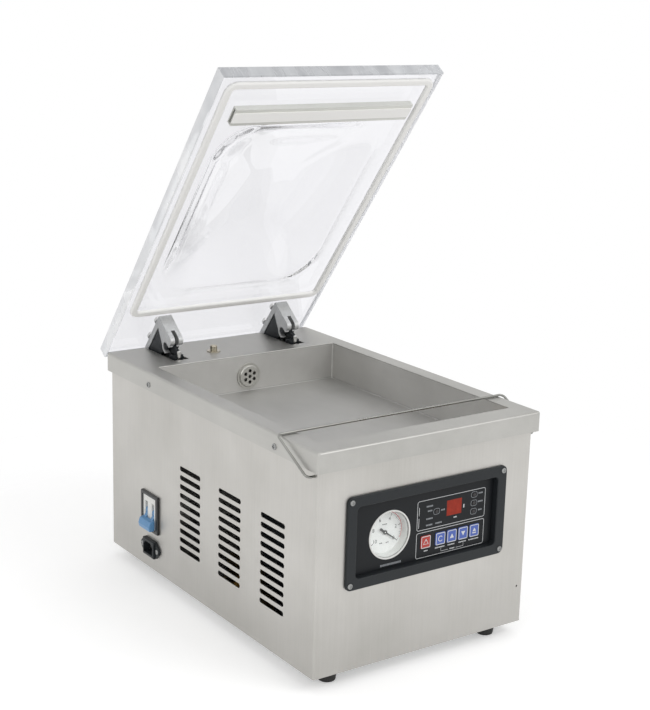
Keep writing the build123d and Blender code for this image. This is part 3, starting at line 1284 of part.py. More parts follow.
with BuildPart() as panel_screws:
    for side in SIDES:
        for row in SIDES:
            screw_z = PANEL_Z + row * PANEL_SCREW_Z
            pan_screw(
                Plane(origin=(side * PANEL_SCREW_X, BEZEL_FRONT, screw_z), z_dir=(0, -1, 0)),
                PANEL_SCREW_R, PANEL_SCREW_HEAD_R, PANEL_SCREW_HEAD_H, SCREW_L,
            )
        pan_screw(
            Plane(
                origin=(-CASE_X - INLET_FLANGE_T, INLET_Y + side * INLET_SCREW_PITCH / 2, INLET_Z),
                z_dir=(-1, 0, 0),
            ),
            PANEL_SCREW_R, PANEL_SCREW_HEAD_R, PANEL_SCREW_HEAD_H, SCREW_L,
        )
finish(panel_screws, "panel_screws")

# Lid switch: collar and body fixed in the deck, with a plunger that the shut lid presses
with BuildPart() as lid_switch_body:
    with BuildSketch(Plane.XY.offset(DECK_H)):
        with Locations((LATCH_X, LATCH_Y)):
            Circle(LATCH_COLLAR_R)
    extrude(amount=LATCH_COLLAR_H)
    with BuildSketch(Plane.XY.offset(DECK_H)):
        with Locations((LATCH_X, LATCH_Y)):
            Circle(LATCH_THREAD_R)
    extrude(amount=-LATCH_BODY_DROP)
    with BuildSketch(Plane.XY.offset(DECK_H - LATCH_BODY_DROP)):
        with Locations((LATCH_X, LATCH_Y)):
            Rectangle(LATCH_BODY, LATCH_BODY)
    extrude(amount=-LATCH_BODY_H)
    with BuildSketch(Plane.XY.offset(DECK_H + LATCH_COLLAR_H)):
        with Locations((LATCH_X, LATCH_Y)):
            Circle(LATCH_PIN_R + SHAFT_GAP)
    extrude(amount=-LATCH_COLLAR_H - LATCH_BODY_DROP - RUN_GAP, mode=Mode.SUBTRACT)
finish(lid_switch_body, "lid_switch_body")

with BuildPart() as lid_switch_plunger:
    with BuildSketch(Plane.XY.offset(DECK_H + LATCH_RISE)):
        with Locations((LATCH_X, LATCH_Y)):
            Circle(LATCH_PIN_R)
    extrude(amount=-LATCH_RISE - LATCH_BODY_DROP + LATCH_TRAVEL)
    fillet(lid_switch_plunger.edges().sort_by(Axis.Z)[-1], LATCH_PIN_R / 3)
finish(lid_switch_plunger, "lid_switch_plunger")

# Vacuum pump with cooling fins, its motor behind it, and the suction hose
with BuildPart() as vacuum_pump:
    with BuildSketch(Plane.XY.offset(BASE_TOP)):
        with Locations((0, PUMP_Y)):
            RectangleRounded(PUMP_W - 2 * PUMP_FIN_D, PUMP_L, PUMP_EDGE)
    extrude(amount=PUMP_H)
    with BuildSketch(Plane.XZ.offset(-PUMP_Y)):
        with Locations((0, BASE_TOP + PUMP_H / 2)):
            with GridLocations(1, PUMP_FIN_PITCH, 1, PUMP_FINS):
                Rectangle(PUMP_W, PUMP_FIN_T)
    extrude(amount=PUMP_L / 2 - PUMP_EDGE, both=True)
    with BuildSketch(Plane.XY.offset(BASE_TOP + PUMP_H)):
        with Locations((0, PUMP_Y)):
            Circle(PUMP_PORT_R)
    extrude(amount=PUMP_PORT_H)
finish(vacuum_pump, "vacuum_pump")

with BuildPart() as pump_motor:
    with BuildSketch(Plane.XZ.offset(-PUMP_Y - PUMP_L / 2)):
        with Locations((0, MOTOR_AXIS)):
            Circle(MOTOR_R - MOTOR_FIN_D)
            with PolarLocations(MOTOR_R - MOTOR_FIN_D, MOTOR_FINS):
                Rectangle(2 * MOTOR_FIN_D, MOTOR_FIN_T)
    extrude(amount=-MOTOR_L)
    with BuildSketch(Plane.XZ.offset(-PUMP_Y - PUMP_L / 2 - MOTOR_L)):
        with Locations((0, MOTOR_AXIS)):
            Circle(MOTOR_R)
    extrude(amount=-MOTOR_END_L)
    with BuildSketch(Plane.XY.offset(BASE_TOP)):
        with Locations((0, PUMP_Y + PUMP_L / 2 + MOTOR_L / 2)):
            Rectangle(MOTOR_FOOT_W, MOTOR_FOOT_L)
    extrude(amount=MOTOR_Z - MOTOR_R / 2)
finish(pump_motor, "pump_motor")

with BuildPart() as vacuum_hose:
    with BuildLine() as hose_path:
        FilletPolyline(
            (0, PUMP_Y, PUMP_TOP),
            (0, PUMP_Y, HOSE_RUN_Z),
            (0, PORT_END + HOSE_BACK, HOSE_RUN_Z),
            (0, PORT_END + HOSE_BACK, PORT_Z),
            (0, PORT_END, PORT_Z),
            radius=HOSE_BEND,
        )
    with BuildSketch(Plane.XY.offset(PUMP_TOP)):
        with Locations((0, PUMP_Y)):
            Circle(HOSE_R)
    sweep()
finish(vacuum_hose, "vacuum_hose")

# Seal transformer: laminated core round a coil
with BuildPart() as seal_transformer:
    with BuildSketch(Plane.XY.offset(BASE_TOP)):
        with Locations((CORE_X, CORE_Y)):
            Rectangle(CORE_W, CORE_L)
    extrude(amount=CORE_H)
    with BuildSketch(Plane.XY.offset(BASE_TOP + (CORE_H - COIL_H) / 2)):
        with Locations((CORE_X, CORE_Y)):
            RectangleRounded(COIL_W, COIL_L, COIL_EDGE)
    extrude(amount=COIL_H)
finish(seal_transformer, "seal_transformer")

# Solenoid valves: two coils on one block
with BuildPart() as solenoid_valves:
    with BuildSketch(Plane.XY.offset(BASE_TOP)):
        with Locations((VALVE_X, VALVE_Y)):
            Rectangle(VALVE_BLOCK_W, VALVE_BLOCK_L)
    extrude(amount=VALVE_BLOCK_H)
    with BuildSketch(Plane.XY.offset(BASE_TOP + VALVE_BLOCK_H)):
        with Locations((VALVE_X, VALVE_Y)):
            with GridLocations(1, VALVE_PITCH, 1, 2):
                Circle(VALVE_COIL_R)
    extrude(amount=VALVE_COIL_H)
finish(solenoid_valves, "solenoid_valves")
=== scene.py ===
import json
from math import cos, hypot, pi, radians, sin, sqrt

import bmesh
import bpy
from mathutils import Matrix, Vector


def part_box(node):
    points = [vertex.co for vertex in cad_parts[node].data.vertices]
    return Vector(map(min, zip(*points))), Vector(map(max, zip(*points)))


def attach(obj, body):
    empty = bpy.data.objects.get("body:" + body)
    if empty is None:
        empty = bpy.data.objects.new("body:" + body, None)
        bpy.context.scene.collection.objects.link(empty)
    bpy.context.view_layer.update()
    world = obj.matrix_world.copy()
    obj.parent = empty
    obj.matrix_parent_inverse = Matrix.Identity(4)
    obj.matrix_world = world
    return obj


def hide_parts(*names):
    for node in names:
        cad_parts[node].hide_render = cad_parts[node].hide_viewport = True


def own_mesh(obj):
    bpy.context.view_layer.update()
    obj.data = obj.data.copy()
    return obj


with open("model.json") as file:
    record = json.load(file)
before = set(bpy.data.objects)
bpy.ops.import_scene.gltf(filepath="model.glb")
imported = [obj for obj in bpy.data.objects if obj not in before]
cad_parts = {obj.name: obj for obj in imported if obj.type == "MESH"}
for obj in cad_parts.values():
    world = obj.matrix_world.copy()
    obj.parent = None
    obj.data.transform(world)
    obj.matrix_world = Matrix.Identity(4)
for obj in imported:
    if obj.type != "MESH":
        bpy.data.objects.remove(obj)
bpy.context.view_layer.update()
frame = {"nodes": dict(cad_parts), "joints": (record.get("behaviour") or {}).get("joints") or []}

nodes = frame["nodes"]
scene = bpy.context.scene
MM = 0.001
# Distance in metres within which a piece's vertices are merged
MERGE_DISTANCE = 1e-7


def box_mm(node_name):
    """A node's lowest corner, highest corner and middle at rest, in mm."""
    low, high = ([v / MM for v in corner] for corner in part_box(node_name))
    return low, high, [(a + b) / 2 for a, b in zip(low, high)]


# Lid, in mm along it from the hinge and above the hinge when it is shut
lid_hinge = next(joint for joint in frame["joints"] if joint["name"] == "lid_hinge")
HINGE_Y, HINGE_Z = (v / MM for v in lid_hinge["pos_m"][1:])
LID_OPEN = radians(lid_hinge["range_deg"][1])
LID_HALF_W = 164.0
LID_FRONT, LID_BACK = -504.3, 7.65
LID_UNDER, LID_TOP = 20.3, 38.3
LID_CHAMFER = 1.2
LID_GRID = 3.0
# Dome in the lid, in mm: the middle, half sizes and corner radius of its outline, then its rise, the length
# of its slope and the rounding at its foot
DOME_MID = -266.3
DOME_HALF_W, DOME_HALF_L, DOME_CORNER = 128.0, 156.0, 55.0
DOME_RISE, DOME_SLOPE, DOME_FOOT = 21.9, 80.0, 12.0
# How much a length along the lid counts, so that the dome's ends climb more gently than its sides
DOME_DRAW = 0.82
DOME_THINNING, DOME_THINNING_REACH = 8.0, 120.0
NORMAL_STEP = 0.25

# All print: thickness of the ink and pitch of a label's letters in mm, and the share of it that is inked
INK = 0.08
LETTER_PITCH, LETTER_SHARE = 1.9, 0.72
CORNER_STEPS = 5
# Print on the panel's film, in mm about its middle
FIELD_LEFT, FIELD_RIGHT, FIELD_CORNER = -12.0, 93.0, 2.5
FIELD_LEVELS = ((-6.2, 30.8), (-41.4, -9.4))
FIELD_LINE, BRACKET_LINE, LAMP_LINE = 0.6, 0.5, 0.5
SIDE_LINES = (((-9.4, 23.0), (-9.4, 12.6)), ((-9.4, 9.4), (-9.4, -3.2)))
KEY_BRACKETS = (
    ((26.5, -35.0), (26.5, -38.8), (38.0, -38.8)),
    ((50.0, -38.8), (61.5, -38.8), (61.5, -35.0)),
)
LAMP_PLACES = ((75.5, 24.6), (75.5, 13.8), (75.5, 3.0), (17.3, 13.8))
LAMP_RING_HALF_W, LAMP_RING_HALF_H, LAMP_RING_CORNER = 4.6, 3.6, 2.6
# Bars and labels of the film: place across and up, length and height
DISPLAY_BAR = (59.6, 13.0, 1.6, 4.4)
WHITE_LABELS = (
    (46.6, 1.2, 5.0, 1.6), (3.0, -33.6, 6.0, 1.4), (44.0, -38.6, 8.0, 1.5),
    (24.6, -33.2, 15.0, 1.4), (42.3, -33.2, 11.0, 1.4), (60.0, -33.2, 12.0, 1.4), (77.7, -33.2, 16.0, 1.4),
)
GREY_LABELS = (
    (6.4, 22.4, 10.0, 1.9), (7.0, 16.4, 7.0, 1.9), (6.6, 6.6, 10.0, 1.9), (6.6, -1.4, 10.0, 1.9),
    (21.0, -1.2, 10.0, 1.9), (27.0, 14.2, 6.0, 1.9), (85.6, 25.2, 7.0, 1.9), (85.6, 14.4, 8.0, 1.9),
    (85.6, 3.6, 6.0, 1.9), (-49.6, -39.2, 31.0, 2.6),
)
# Print on the keys, in mm about each key's middle
KEY_BORDER_HALF_W, KEY_BORDER_HALF_H, KEY_BORDER_CORNER = 6.6, 7.1, 1.2
KEY_BORDER_LINE, KEY_SIGN_LINE = 0.9, 1.0

# Print on the gauge's dial, in mm and degrees about its middle
DIAL_T = 1.0
SCALE_START, SCALE_SWEEP = -36.0, 252.0
SCALE_DIVISIONS, SCALE_OUTER_R = 50, 24.4
# Marks of the scale, longest first: divisions from one to the next, inner radius and width
SCALE_MARKS = ((10, 20.6, 0.8), (5, 21.8, 0.55), (1, 22.6, 0.35))
DIAL_LABELS = ((0, 9.5, 7.0, 1.2), (-4.7, -13.4, 4.6, 1.2), (4.7, -13.8, 4.6, 1.2))
DIAL_FIGURES = ("0", "2", "4", "6", "8", "10")
FIGURE_R, FIGURE_SIZE = 17.0, 6.4
RED_ARC_R, RED_ARC_START, RED_ARC_END = 25.3, -25, 118
RED_ARC_LINE, RED_ARC_STEPS = 0.8, 48

# Screw heads: radii in mm, then the shape of one head in shares of its radius
CASING_HEAD_R, PANEL_HEAD_R = 4.0, 3.4
HEAD_PROFILE = ((1.0, 0.0), (1.0, 0.14), (0.93, 0.27), (0.72, 0.37), (0.4, 0.4))
HEAD_SIDES = 24
CROSS_LENGTH, CROSS_WIDTH = 1.2, 0.32
CROSS_FLOOR, CROSS_TOP = 0.22, 0.78
# Places of the screws, in mm: about the deck's middle, on the back, and about the bezel and the inlet
DECK_SCREW_YS, DECK_SCREW_Z = (-169.0, 137.0), 280.0
REAR_SCREW_X, REAR_SCREW_ZS = 152.0, (60.0, 150.0, 240.0)
BEZEL_SCREW_X, BEZEL_SCREW_Z = 114.0, 51.0
INLET_FLANGE_X, INLET_SCREW_Y = -163.0, 20.0

# Springs round the push rods, in mm: radius of the wire and radius of the coil, then the number of turns
SPRING_WIRE, SPRING_COIL, SPRING_TURNS = 1.1, 6.2, 8
COIL_STEPS, WIRE_STEPS = 24, 8
# Black plates of painted shade in the hinge arms' hollows, in mm along the lid and above the hinge
SHADE_PLATE_OUTLINE = ((-57.2, 12.3), (-10.0, 12.3), (-7.0, 0.0), (-42.8, -20.0))
SHADE_PLATE_T, SHADE_PLATE_RECESS = 1.5, 1.0

# Floor, in metres: half its width, and the distances between which it fades out
FLOOR_HALF = 3
FLOOR_FADE_START, FLOOR_FADE_END = 0.45, 1.0
# Strength of the white surround where it is seen, and where it only lights the object
SURROUND_SEEN, SURROUND_LIGHT = 1.0, 0.62
# Camera fitted to the photo's edges, in degrees and metres, with its focal length in the photo's pixels
CAMERA_AZIMUTH, CAMERA_ELEVATION, CAMERA_ROLL = -35.152, 14.27, 1.589
CAMERA_TARGET = (0.014074, -0.021846, 0.331306)
CAMERA_DISTANCE, CAMERA_REACH = 1.909876, 20
FOCAL_PIXELS, PHOTO_LONG_SIDE = 1468.99, 710
SENSOR_MM = 36.0

# Sizes of the finishes' patterns, in mm, along x, y and z where there are three
CASING_SCRATCH = (2.381, 2.381, 71.43)
DECK_SCRATCH = (14.29, 83.33, 14.29)
TUB_SCRATCH = (16.67, 50.0, 16.67)
BAR_SCRATCH = (33.33, 2.0, 2.0)
PLATED_MOTTLE = (16.67, 16.67, 16.67)
TURNED_MOTTLE = (5.0, 5.0, 5.0)
DRAWN_MOTTLE = (3.333, 3.333, 3.333)
EDGE_STREAK = (16.67, 71.43, 71.43)
HANDLING_SMEAR = 111.1
ACRYLIC_SMEAR = 71.43
# Painted shade: two heights in metres, and the share of brightness left below and above them. It darkens the
# casing towards its foot, the deck's top face and the tub's floor
CASING_PAINTED_SHADE = (0.02, 0.16, 0.86, 1.0)
DECK_PAINTED_SHADE = (0.293, 0.2965, 1.0, 0.86)
TUB_PAINTED_SHADE = (0.2454, 0.248, 0.76, 1.0)
# Part of a noise pattern's range over which a finish goes from its dark to its light
NOISE_LOW, NOISE_HIGH = 0.3, 0.7
# Share of the smears in a brushed finish, and how far its roughness falls and rises with them
SMEAR_SHARE = 0.7
ROUGHNESS_FALL, ROUGHNESS_RISE = 0.05, 0.07
ACRYLIC_IOR, GLASS_IOR = 1.49, 1.5


def linear(code):
    """A sRGB hex colour as linear RGBA."""
    parts = [int(code[i:i + 2], 16) / 255 for i in (1, 3, 5)]
    return [c / 12.92 if c <= 0.04045 else ((c + 0.055) / 1.055) ** 2.4 for c in parts] + [1.0]


def add(tree, kind, inputs=None, ramp=(), **settings):
    """Adds a node: inputs are its sockets' values or the sockets they come from, ramp holds its colour
    stops, and settings are its other properties."""
    made = tree.nodes.new(kind)
    for name, value in settings.items():
        setattr(made, name, value)
    for i, (position, colour) in enumerate(ramp):
        made.color_ramp.elements[i].position = position
        made.color_ramp.elements[i].color = colour
    for key, value in (inputs or {}).items():
        if isinstance(value, bpy.types.NodeSocket):
            tree.links.new(value, made.inputs[key])
        else:
            made.inputs[key].default_value = value
    return made


def finish(name, **sockets):
    """A material with one Principled shader whose plain values are set on its own sockets."""
    made = bpy.data.materials.new(name)
    made.use_nodes = True
    shader = made.node_tree.nodes["Principled BSDF"]
    for key, value in sockets.items():
        shader.inputs[key.replace("_", " ")].default_value = value
    return made, made.node_tree, shader


def wear(dark, light):
    """The two stops of a finish's colour ramp."""
    return (NOISE_LOW, linear(dark)), (NOISE_HIGH, linear(light))


def per_metre(size):
    """The scale of a pattern whose real size is given in mm."""
    return 1 / (size * MM)


def satin_metal(name, dark, light, scratch_mm, roughness, metal=1.0, painted_shade=None):
    """Metal with a satin finish: parallel scratches, and cloudy smears from handling. scratch_mm is the size
    of a scratch along x, y and z. Real scratches are about 0.1 mm apart and wouldn't show at this size, so
    they are drawn coarser. The last argument paints shade into the colour: two heights and the share of
    brightness left below and above them."""
    made, tree, shader = finish(name, Metallic=metal)
    place = add(tree, "ShaderNodeTexCoord").outputs["Object"]
    scratch_scale = [per_metre(size) for size in scratch_mm]
    run = add(tree, "ShaderNodeMapping", {"Vector": place, "Scale": scratch_scale})
    scratch = add(tree, "ShaderNodeTexNoise", {
        "Vector": run.outputs[0], "Scale": 1.0, "Detail": 5.0, "Roughness": 0.65,
    }).outputs["Fac"]
    cloud = add(tree, "ShaderNodeTexNoise", {
        "Vector": place, "Scale": per_metre(HANDLING_SMEAR), "Detail": 3.0, "Roughness": 0.55,
    }).outputs["Fac"]
    mixed = add(tree, "ShaderNodeMix", {"Factor": SMEAR_SHARE, "A": scratch, "B": cloud}).outputs["Result"]
    tone = add(tree, "ShaderNodeValToRGB", {"Fac": mixed}, ramp=wear(dark, light)).outputs["Color"]
    rough = add(tree, "ShaderNodeMapRange", {
        "Value": mixed, "From Min": NOISE_LOW, "From Max": NOISE_HIGH,
        "To Min": roughness - ROUGHNESS_FALL, "To Max": roughness + ROUGHNESS_RISE,
    })
    bump = add(tree, "ShaderNodeBump", {"Height": scratch, "Strength": 0.06, "Distance": 0.4 * MM})
    # Painted shade: the colour is darkened below or above the given heights
    if painted_shade:
        low, high, share_below, share_above = painted_shade
        height = add(tree, "ShaderNodeSeparateXYZ", {0: place})
        share = add(tree, "ShaderNodeMapRange", {
            "Value": height.outputs["Z"], "From Min": low, "From Max": high,
            "To Min": share_below, "To Max": share_above,
        }, interpolation_type="SMOOTHSTEP").outputs["Result"]
        shaded_tone = add(tree, "ShaderNodeVectorMath", {0: tone, "Scale": share}, operation="SCALE")
        tone = shaded_tone.outputs[0]
    tree.links.new(tone, shader.inputs["Base Color"])
    tree.links.new(rough.outputs["Result"], shader.inputs["Roughness"])
    tree.links.new(bump.outputs["Normal"], shader.inputs["Normal"])
    return made


def grained(name, dark, light, grain_mm, bump_mm, **sockets):
    """A moulded, cast or painted surface: a fine even grain in colour and height."""
    made, tree, shader = finish(name, **sockets)
    place = add(tree, "ShaderNodeTexCoord").outputs["Object"]
    grain = add(tree, "ShaderNodeTexNoise", {
        "Vector": place, "Scale": per_metre(grain_mm), "Detail": 4.0, "Roughness": 0.6,
    }).outputs["Fac"]
    tone = add(tree, "ShaderNodeValToRGB", {"Fac": grain}, ramp=wear(dark, light))
    bump = add(tree, "ShaderNodeBump", {"Height": grain, "Strength": 0.3, "Distance": bump_mm * MM})
    tree.links.new(tone.outputs["Color"], shader.inputs["Base Color"])
    tree.links.new(bump.outputs["Normal"], shader.inputs["Normal"])
    return made


def clear_solid(name, tint, bend, **sockets):
    """Clear glass or acrylic: bends what is behind it, and lets lamp light through to what it covers."""
    made, tree, shader = finish(name, Base_Color=linear(tint), IOR=bend, Transmission_Weight=1.0, **sockets)
    shadow_ray = add(tree, "ShaderNodeLightPath").outputs["Is Shadow Ray"]
    clear = add(tree, "ShaderNodeBsdfTransparent", {"Color": linear("#f4f7f7")})
    mixed = add(tree, "ShaderNodeMixShader", {0: shadow_ray, 1: shader.outputs[0], 2: clear.outputs[0]})
    tree.links.new(mixed.outputs[0], tree.nodes["Material Output"].inputs["Surface"])
    return made, tree, shader


def scraped_edge(name, dark, light, painted_glow):
    """A sawn and scraped edge of the acrylic sheet: pale and streaky along the cut, with a faint painted
    glow that stands for the light the sheet pipes to it."""
    # Painted glow: the edge emits a little light of its own
    made, tree, shader = finish(name, IOR=ACRYLIC_IOR, Transmission_Weight=0.2,
                                Emission_Color=linear("#f6f7fb"), Emission_Strength=painted_glow)
    place = add(tree, "ShaderNodeTexCoord").outputs["Object"]
    streak_scale = [per_metre(size) for size in EDGE_STREAK]
    run = add(tree, "ShaderNodeMapping", {"Vector": place, "Scale": streak_scale})
    noise = add(tree, "ShaderNodeTexNoise", {"Vector": run.outputs[0], "Scale": 1.0, "Detail": 4.0})
    streak = noise.outputs["Fac"]
    tone = add(tree, "ShaderNodeValToRGB", {"Fac": streak}, ramp=wear(dark, light))
    rough = add(tree, "ShaderNodeMapRange", {
        "Value": streak, "From Min": NOISE_LOW, "From Max": NOISE_HIGH, "To Min": 0.12, "To Max": 0.4,
    })
    tree.links.new(tone.outputs["Color"], shader.inputs["Base Color"])
    tree.links.new(rough.outputs["Result"], shader.inputs["Roughness"])
    return made


# Stainless sheet, belt finished: soft streaks up the casing and along the deck, fainter ones in the tub. The
# deck's sheet is painted darker for the light on its top face and the tub's lighter for the shade inside it;
# all three also get painted shade by height
casing_steel = satin_metal("stainless_belt_finished_upright", "#bab8b3", "#cccac6",
                           CASING_SCRATCH, 0.42, painted_shade=CASING_PAINTED_SHADE)
deck_steel_shaded = satin_metal("stainless_belt_finished_lengthways_shaded", "#b1b0ac", "#c3c2be",
                         DECK_SCRATCH, 0.42, painted_shade=DECK_PAINTED_SHADE)
tub_steel_lit = satin_metal("stainless_pressed_satin_lit", "#bfbebb", "#d0cfcc",
                        TUB_SCRATCH, 0.5, metal=0.75, painted_shade=TUB_PAINTED_SHADE)
# Zinc-plated sheet: an even, cooler grey
zinc_sheet = satin_metal("zinc_plated_sheet", "#9a9c9c", "#b4b6b6", PLATED_MOTTLE, 0.42)
# Sand-cast aluminium, tumbled: pale grey with a fine peen
cast_aluminium = grained("aluminium_cast_tumbled", "#b8b9b9", "#d2d3d3", 1.6, 0.12, Metallic=0.85,
                         Roughness=0.55)
# Extruded aluminium, anodised: pale and matt, with lines along the bar
extruded_aluminium = satin_metal("aluminium_anodised_satin", "#cfd0cb", "#e0e0db",
                                 BAR_SCRATCH, 0.5, metal=0.45)
# Zinc-plated screw steel: greyer than drawn rod, so that the cross recess reads
screw_steel = satin_metal("steel_zinc_plated_screws", "#8a8b8a", "#a4a5a4", DRAWN_MOTTLE, 0.3)
# Drawn steel: a bright rod with sharp highlights, and a darker stainless wire
bright_steel = satin_metal("steel_drawn_bright", "#c2c2c0", "#d8d8d6", DRAWN_MOTTLE, 0.2)
wire_steel = satin_metal("stainless_wire_drawn", "#83837f", "#9c9c98", DRAWN_MOTTLE, 0.28)
# Turned stainless: a soft sheen
port_steel = satin_metal("stainless_turned_satin", "#b4b3ae", "#c6c5c0", TURNED_MOTTLE, 0.38, metal=0.9)
# Rolled heating band: dull brown-grey
element_alloy = satin_metal("nichrome_band", "#7d7a74", "#94918b", PLATED_MOTTLE, 0.35)
# Turned brass, warm and bright, and the same under a dulled nickel plate
turned_brass = grained("brass_turned", "#a08a5c", "#c4ae7c", 0.8, 0.02, Metallic=1.0, Roughness=0.28)
nickel_brass = grained("brass_nickel_plated", "#9d9788", "#c0b9a9", 0.8, 0.02, Metallic=1.0, Roughness=0.3)
# Black ABS, moulded with a fine spark grain: a soft grey sheen. Polycarbonate is darker and glossier
black_abs = grained("abs_black_moulded", "#1b1e20", "#262a2d", 0.5, 0.02, Roughness=0.45,
                    Specular_IOR_Level=0.3)
black_gloss = grained("polycarbonate_black", "#101113", "#191b1d", 0.7, 0.01, Roughness=0.28)
# Printed polyester film over black: a matt face
panel_film = grained("polyester_film_black", "#121417", "#1a1d20", 0.6, 0.008, Roughness=0.4,
                     Specular_IOR_Level=0.22)
# Moulded rubber: a dull black, a little smoother on the hose than on the feet
black_rubber = grained("rubber_moulded_black", "#191918", "#2a2928", 0.9, 0.06, Roughness=0.72)
hose_rubber = grained("hose_rubber_black", "#1c1c1c", "#2b2b2b", 1.0, 0.05, Roughness=0.6)
# White ABS, moulded: a plain half gloss
white_abs = grained("abs_white_moulded", "#dcdcd8", "#e9e9e6", 0.6, 0.01, Roughness=0.4)
# Screen inks: flat colours, hardly raised
print_white = grained("screen_ink_white", "#c9cbcd", "#dfe1e2", 0.5, 0.004, Roughness=0.5)
print_grey = grained("screen_ink_grey", "#84888c", "#9a9ea2", 0.5, 0.004, Roughness=0.5)
print_black = grained("screen_ink_black", "#242424", "#303030", 0.5, 0.004, Roughness=0.5)
print_red = grained("screen_ink_red", "#c0373a", "#cf4a48", 0.5, 0.004, Roughness=0.5)
# Coated card of the dial: a clean matt white
dial_card = grained("dial_card_white", "#f6f6f4", "#fdfdfb", 1.2, 0.004, Roughness=0.55)
# Coloured keys of moulded ABS, and the breaker's nylon toggle: a half gloss
red_key = grained("abs_red_moulded", "#a52f28", "#bb3b31", 0.5, 0.01, Roughness=0.34)
blue_key = grained("abs_blue_moulded", "#435ba8", "#5069b8", 0.5, 0.01, Roughness=0.34)
toggle_blue = grained("nylon_blue_moulded", "#4f82b0", "#699ac6", 0.6, 0.01, Roughness=0.35)
# Glass cloth coated with PTFE: brown, with the weave just felt
tape_ptfe = grained("ptfe_glass_tape_brown", "#8a6f4d", "#a0845f", 0.9, 0.05, Roughness=0.5)
# Machinery under the deck: painted iron, enamel, varnished steel and a green circuit board
pump_iron = grained("cast_iron_painted_grey", "#4b4f52", "#5d6164", 2.0, 0.15, Roughness=0.5)
motor_paint = grained("motor_enamel_dark_grey", "#3c4043", "#4b5054", 1.4, 0.05, Roughness=0.4)
core_steel = grained("varnished_laminations", "#3a332c", "#4d453c", 0.5, 0.05, Roughness=0.55)
board_green = grained("solder_mask_green", "#1d4a30", "#28603f", 2.5, 0.01, Roughness=0.35)
# Silicone profile: milky white
silicone_white = grained("silicone_white", "#f8f7f4", "#fefdfb", 0.8, 0.01, Roughness=0.5)
# Red filter in front of the display's segments, and smoked lamps that are off
display_red = grained("acrylic_red_filter", "#8a2717", "#a2321e", 6.0, 0.0, Roughness=0.3,
                      Specular_IOR_Level=0.2)
lamp_clear = grained("epoxy_lamp_smoked", "#1d1b1d", "#2b2729", 0.6, 0.0, Roughness=0.25)
# Lens of the gauge: polished glass
lens_clear, _, _ = clear_solid("glass_gauge_lens", "#fbfcfc", GLASS_IOR, Roughness=0.02)
# Cast acrylic sheet: clear, with faint smears that dull its reflections here and there
acrylic_clear, acrylic_tree, acrylic_shader = clear_solid("acrylic_cast_clear", "#f4f4f7", ACRYLIC_IOR)
smear_place = add(acrylic_tree, "ShaderNodeTexCoord").outputs["Object"]
smear = add(acrylic_tree, "ShaderNodeTexNoise", {
    "Vector": smear_place, "Scale": per_metre(ACRYLIC_SMEAR), "Detail": 3.0,
})
smear_rough = add(acrylic_tree, "ShaderNodeMapRange", {
    "Value": smear.outputs["Fac"], "From Min": 0.45, "From Max": 0.75, "To Min": 0.0, "To Max": 0.06,
})
acrylic_tree.links.new(smear_rough.outputs["Result"], acrylic_shader.inputs["Roughness"])
# Scraped edges of the sheet, as a lit and a shaded copy: the long ones painted lighter and with the painted
# glow, the ends painted greyer
acrylic_edge_lit = scraped_edge("acrylic_scraped_edge_lit", "#d8dadd", "#ffffff", painted_glow=0.14)
acrylic_end_shaded = scraped_edge("acrylic_scraped_end_shaded", "#bcbec2", "#d8dadd", painted_glow=0.0)

looks = {
    "outer_casing": casing_steel, "rear_panel": casing_steel, "base_plate": zinc_sheet,
    "top_deck": deck_steel_shaded, "chamber_tub": tub_steel_lit, "rubber_feet": black_rubber,
    "suction_fitting": port_steel, "casing_screws": screw_steel, "panel_screws": screw_steel,
    "panel_bezel": black_abs, "panel_overlay": panel_film, "display_window": display_red,
    "indicator_lamps": lamp_clear, "gauge_case": white_abs, "gauge_dial": dial_card,
    "gauge_lens": lens_clear, "gauge_needle": print_black, "breaker_frame": black_gloss,
    "breaker_body": white_abs, "breaker_toggle": toggle_blue, "inlet_housing": black_abs,
    "inlet_blades": bright_steel, "hinge_bases": zinc_sheet, "hinge_pins": bright_steel,
    "lid_switch_body": nickel_brass, "lid_switch_plunger": nickel_brass, "lid_springs": bright_steel,
    "rod_brackets": zinc_sheet, "vacuum_pump": pump_iron, "pump_motor": motor_paint,
    "vacuum_hose": hose_rubber, "seal_transformer": core_steel, "solenoid_valves": turned_brass,
    "control_board": board_green, "lift_cylinders": extruded_aluminium, "lid": acrylic_clear,
    "lid_gasket": silicone_white, "counter_bar": extruded_aluminium, "counter_bar_pad": silicone_white,
    "hinge_arm_left": cast_aluminium, "hinge_arm_right": cast_aluminium, "hinge_bolts": bright_steel,
    "hold_down_bail": wire_steel, "seal_bar": extruded_aluminium, "heating_element": element_alloy,
    "release_tape": tape_ptfe, "lift_posts": bright_steel, "rod_head_left": black_abs,
    "rod_head_right": black_abs, "push_rod_left": bright_steel, "push_rod_right": bright_steel,
    "stop_key": red_key, "set_key": blue_key, "up_key": blue_key, "down_key": blue_key,
    "enter_key": blue_key,
}
for node_name, look in looks.items():
    nodes[node_name].data.materials.clear()
    nodes[node_name].data.materials.append(look)


def put(name, data):
    """An object in the scene, at the origin."""
    made = bpy.data.objects.new(name, data)
    scene.collection.objects.link(made)
    return made


def plain_mesh(holder):
    """The mesh that an object's modifiers or text give."""
    return bpy.data.meshes.new_from_object(holder.evaluated_get(bpy.context.evaluated_depsgraph_get()))


def mesh_of(name, bm):
    """Turns a finished bmesh into a mesh."""
    mesh = bpy.data.meshes.new(name)
    bm.to_mesh(mesh)
    bm.free()
    return mesh


def piece(name, bm, finishes, body, stands_for=()):
    """Makes a finished mesh piece that rides on a body."""
    bmesh.ops.remove_doubles(bm, verts=bm.verts, dist=MERGE_DISTANCE)
    bmesh.ops.recalc_face_normals(bm, faces=bm.faces)
    made = put(name, mesh_of(name, bm))
    for look in finishes:
        made.data.materials.append(look)
    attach(made, body)
    if stands_for:
        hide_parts(*stands_for)
    return made


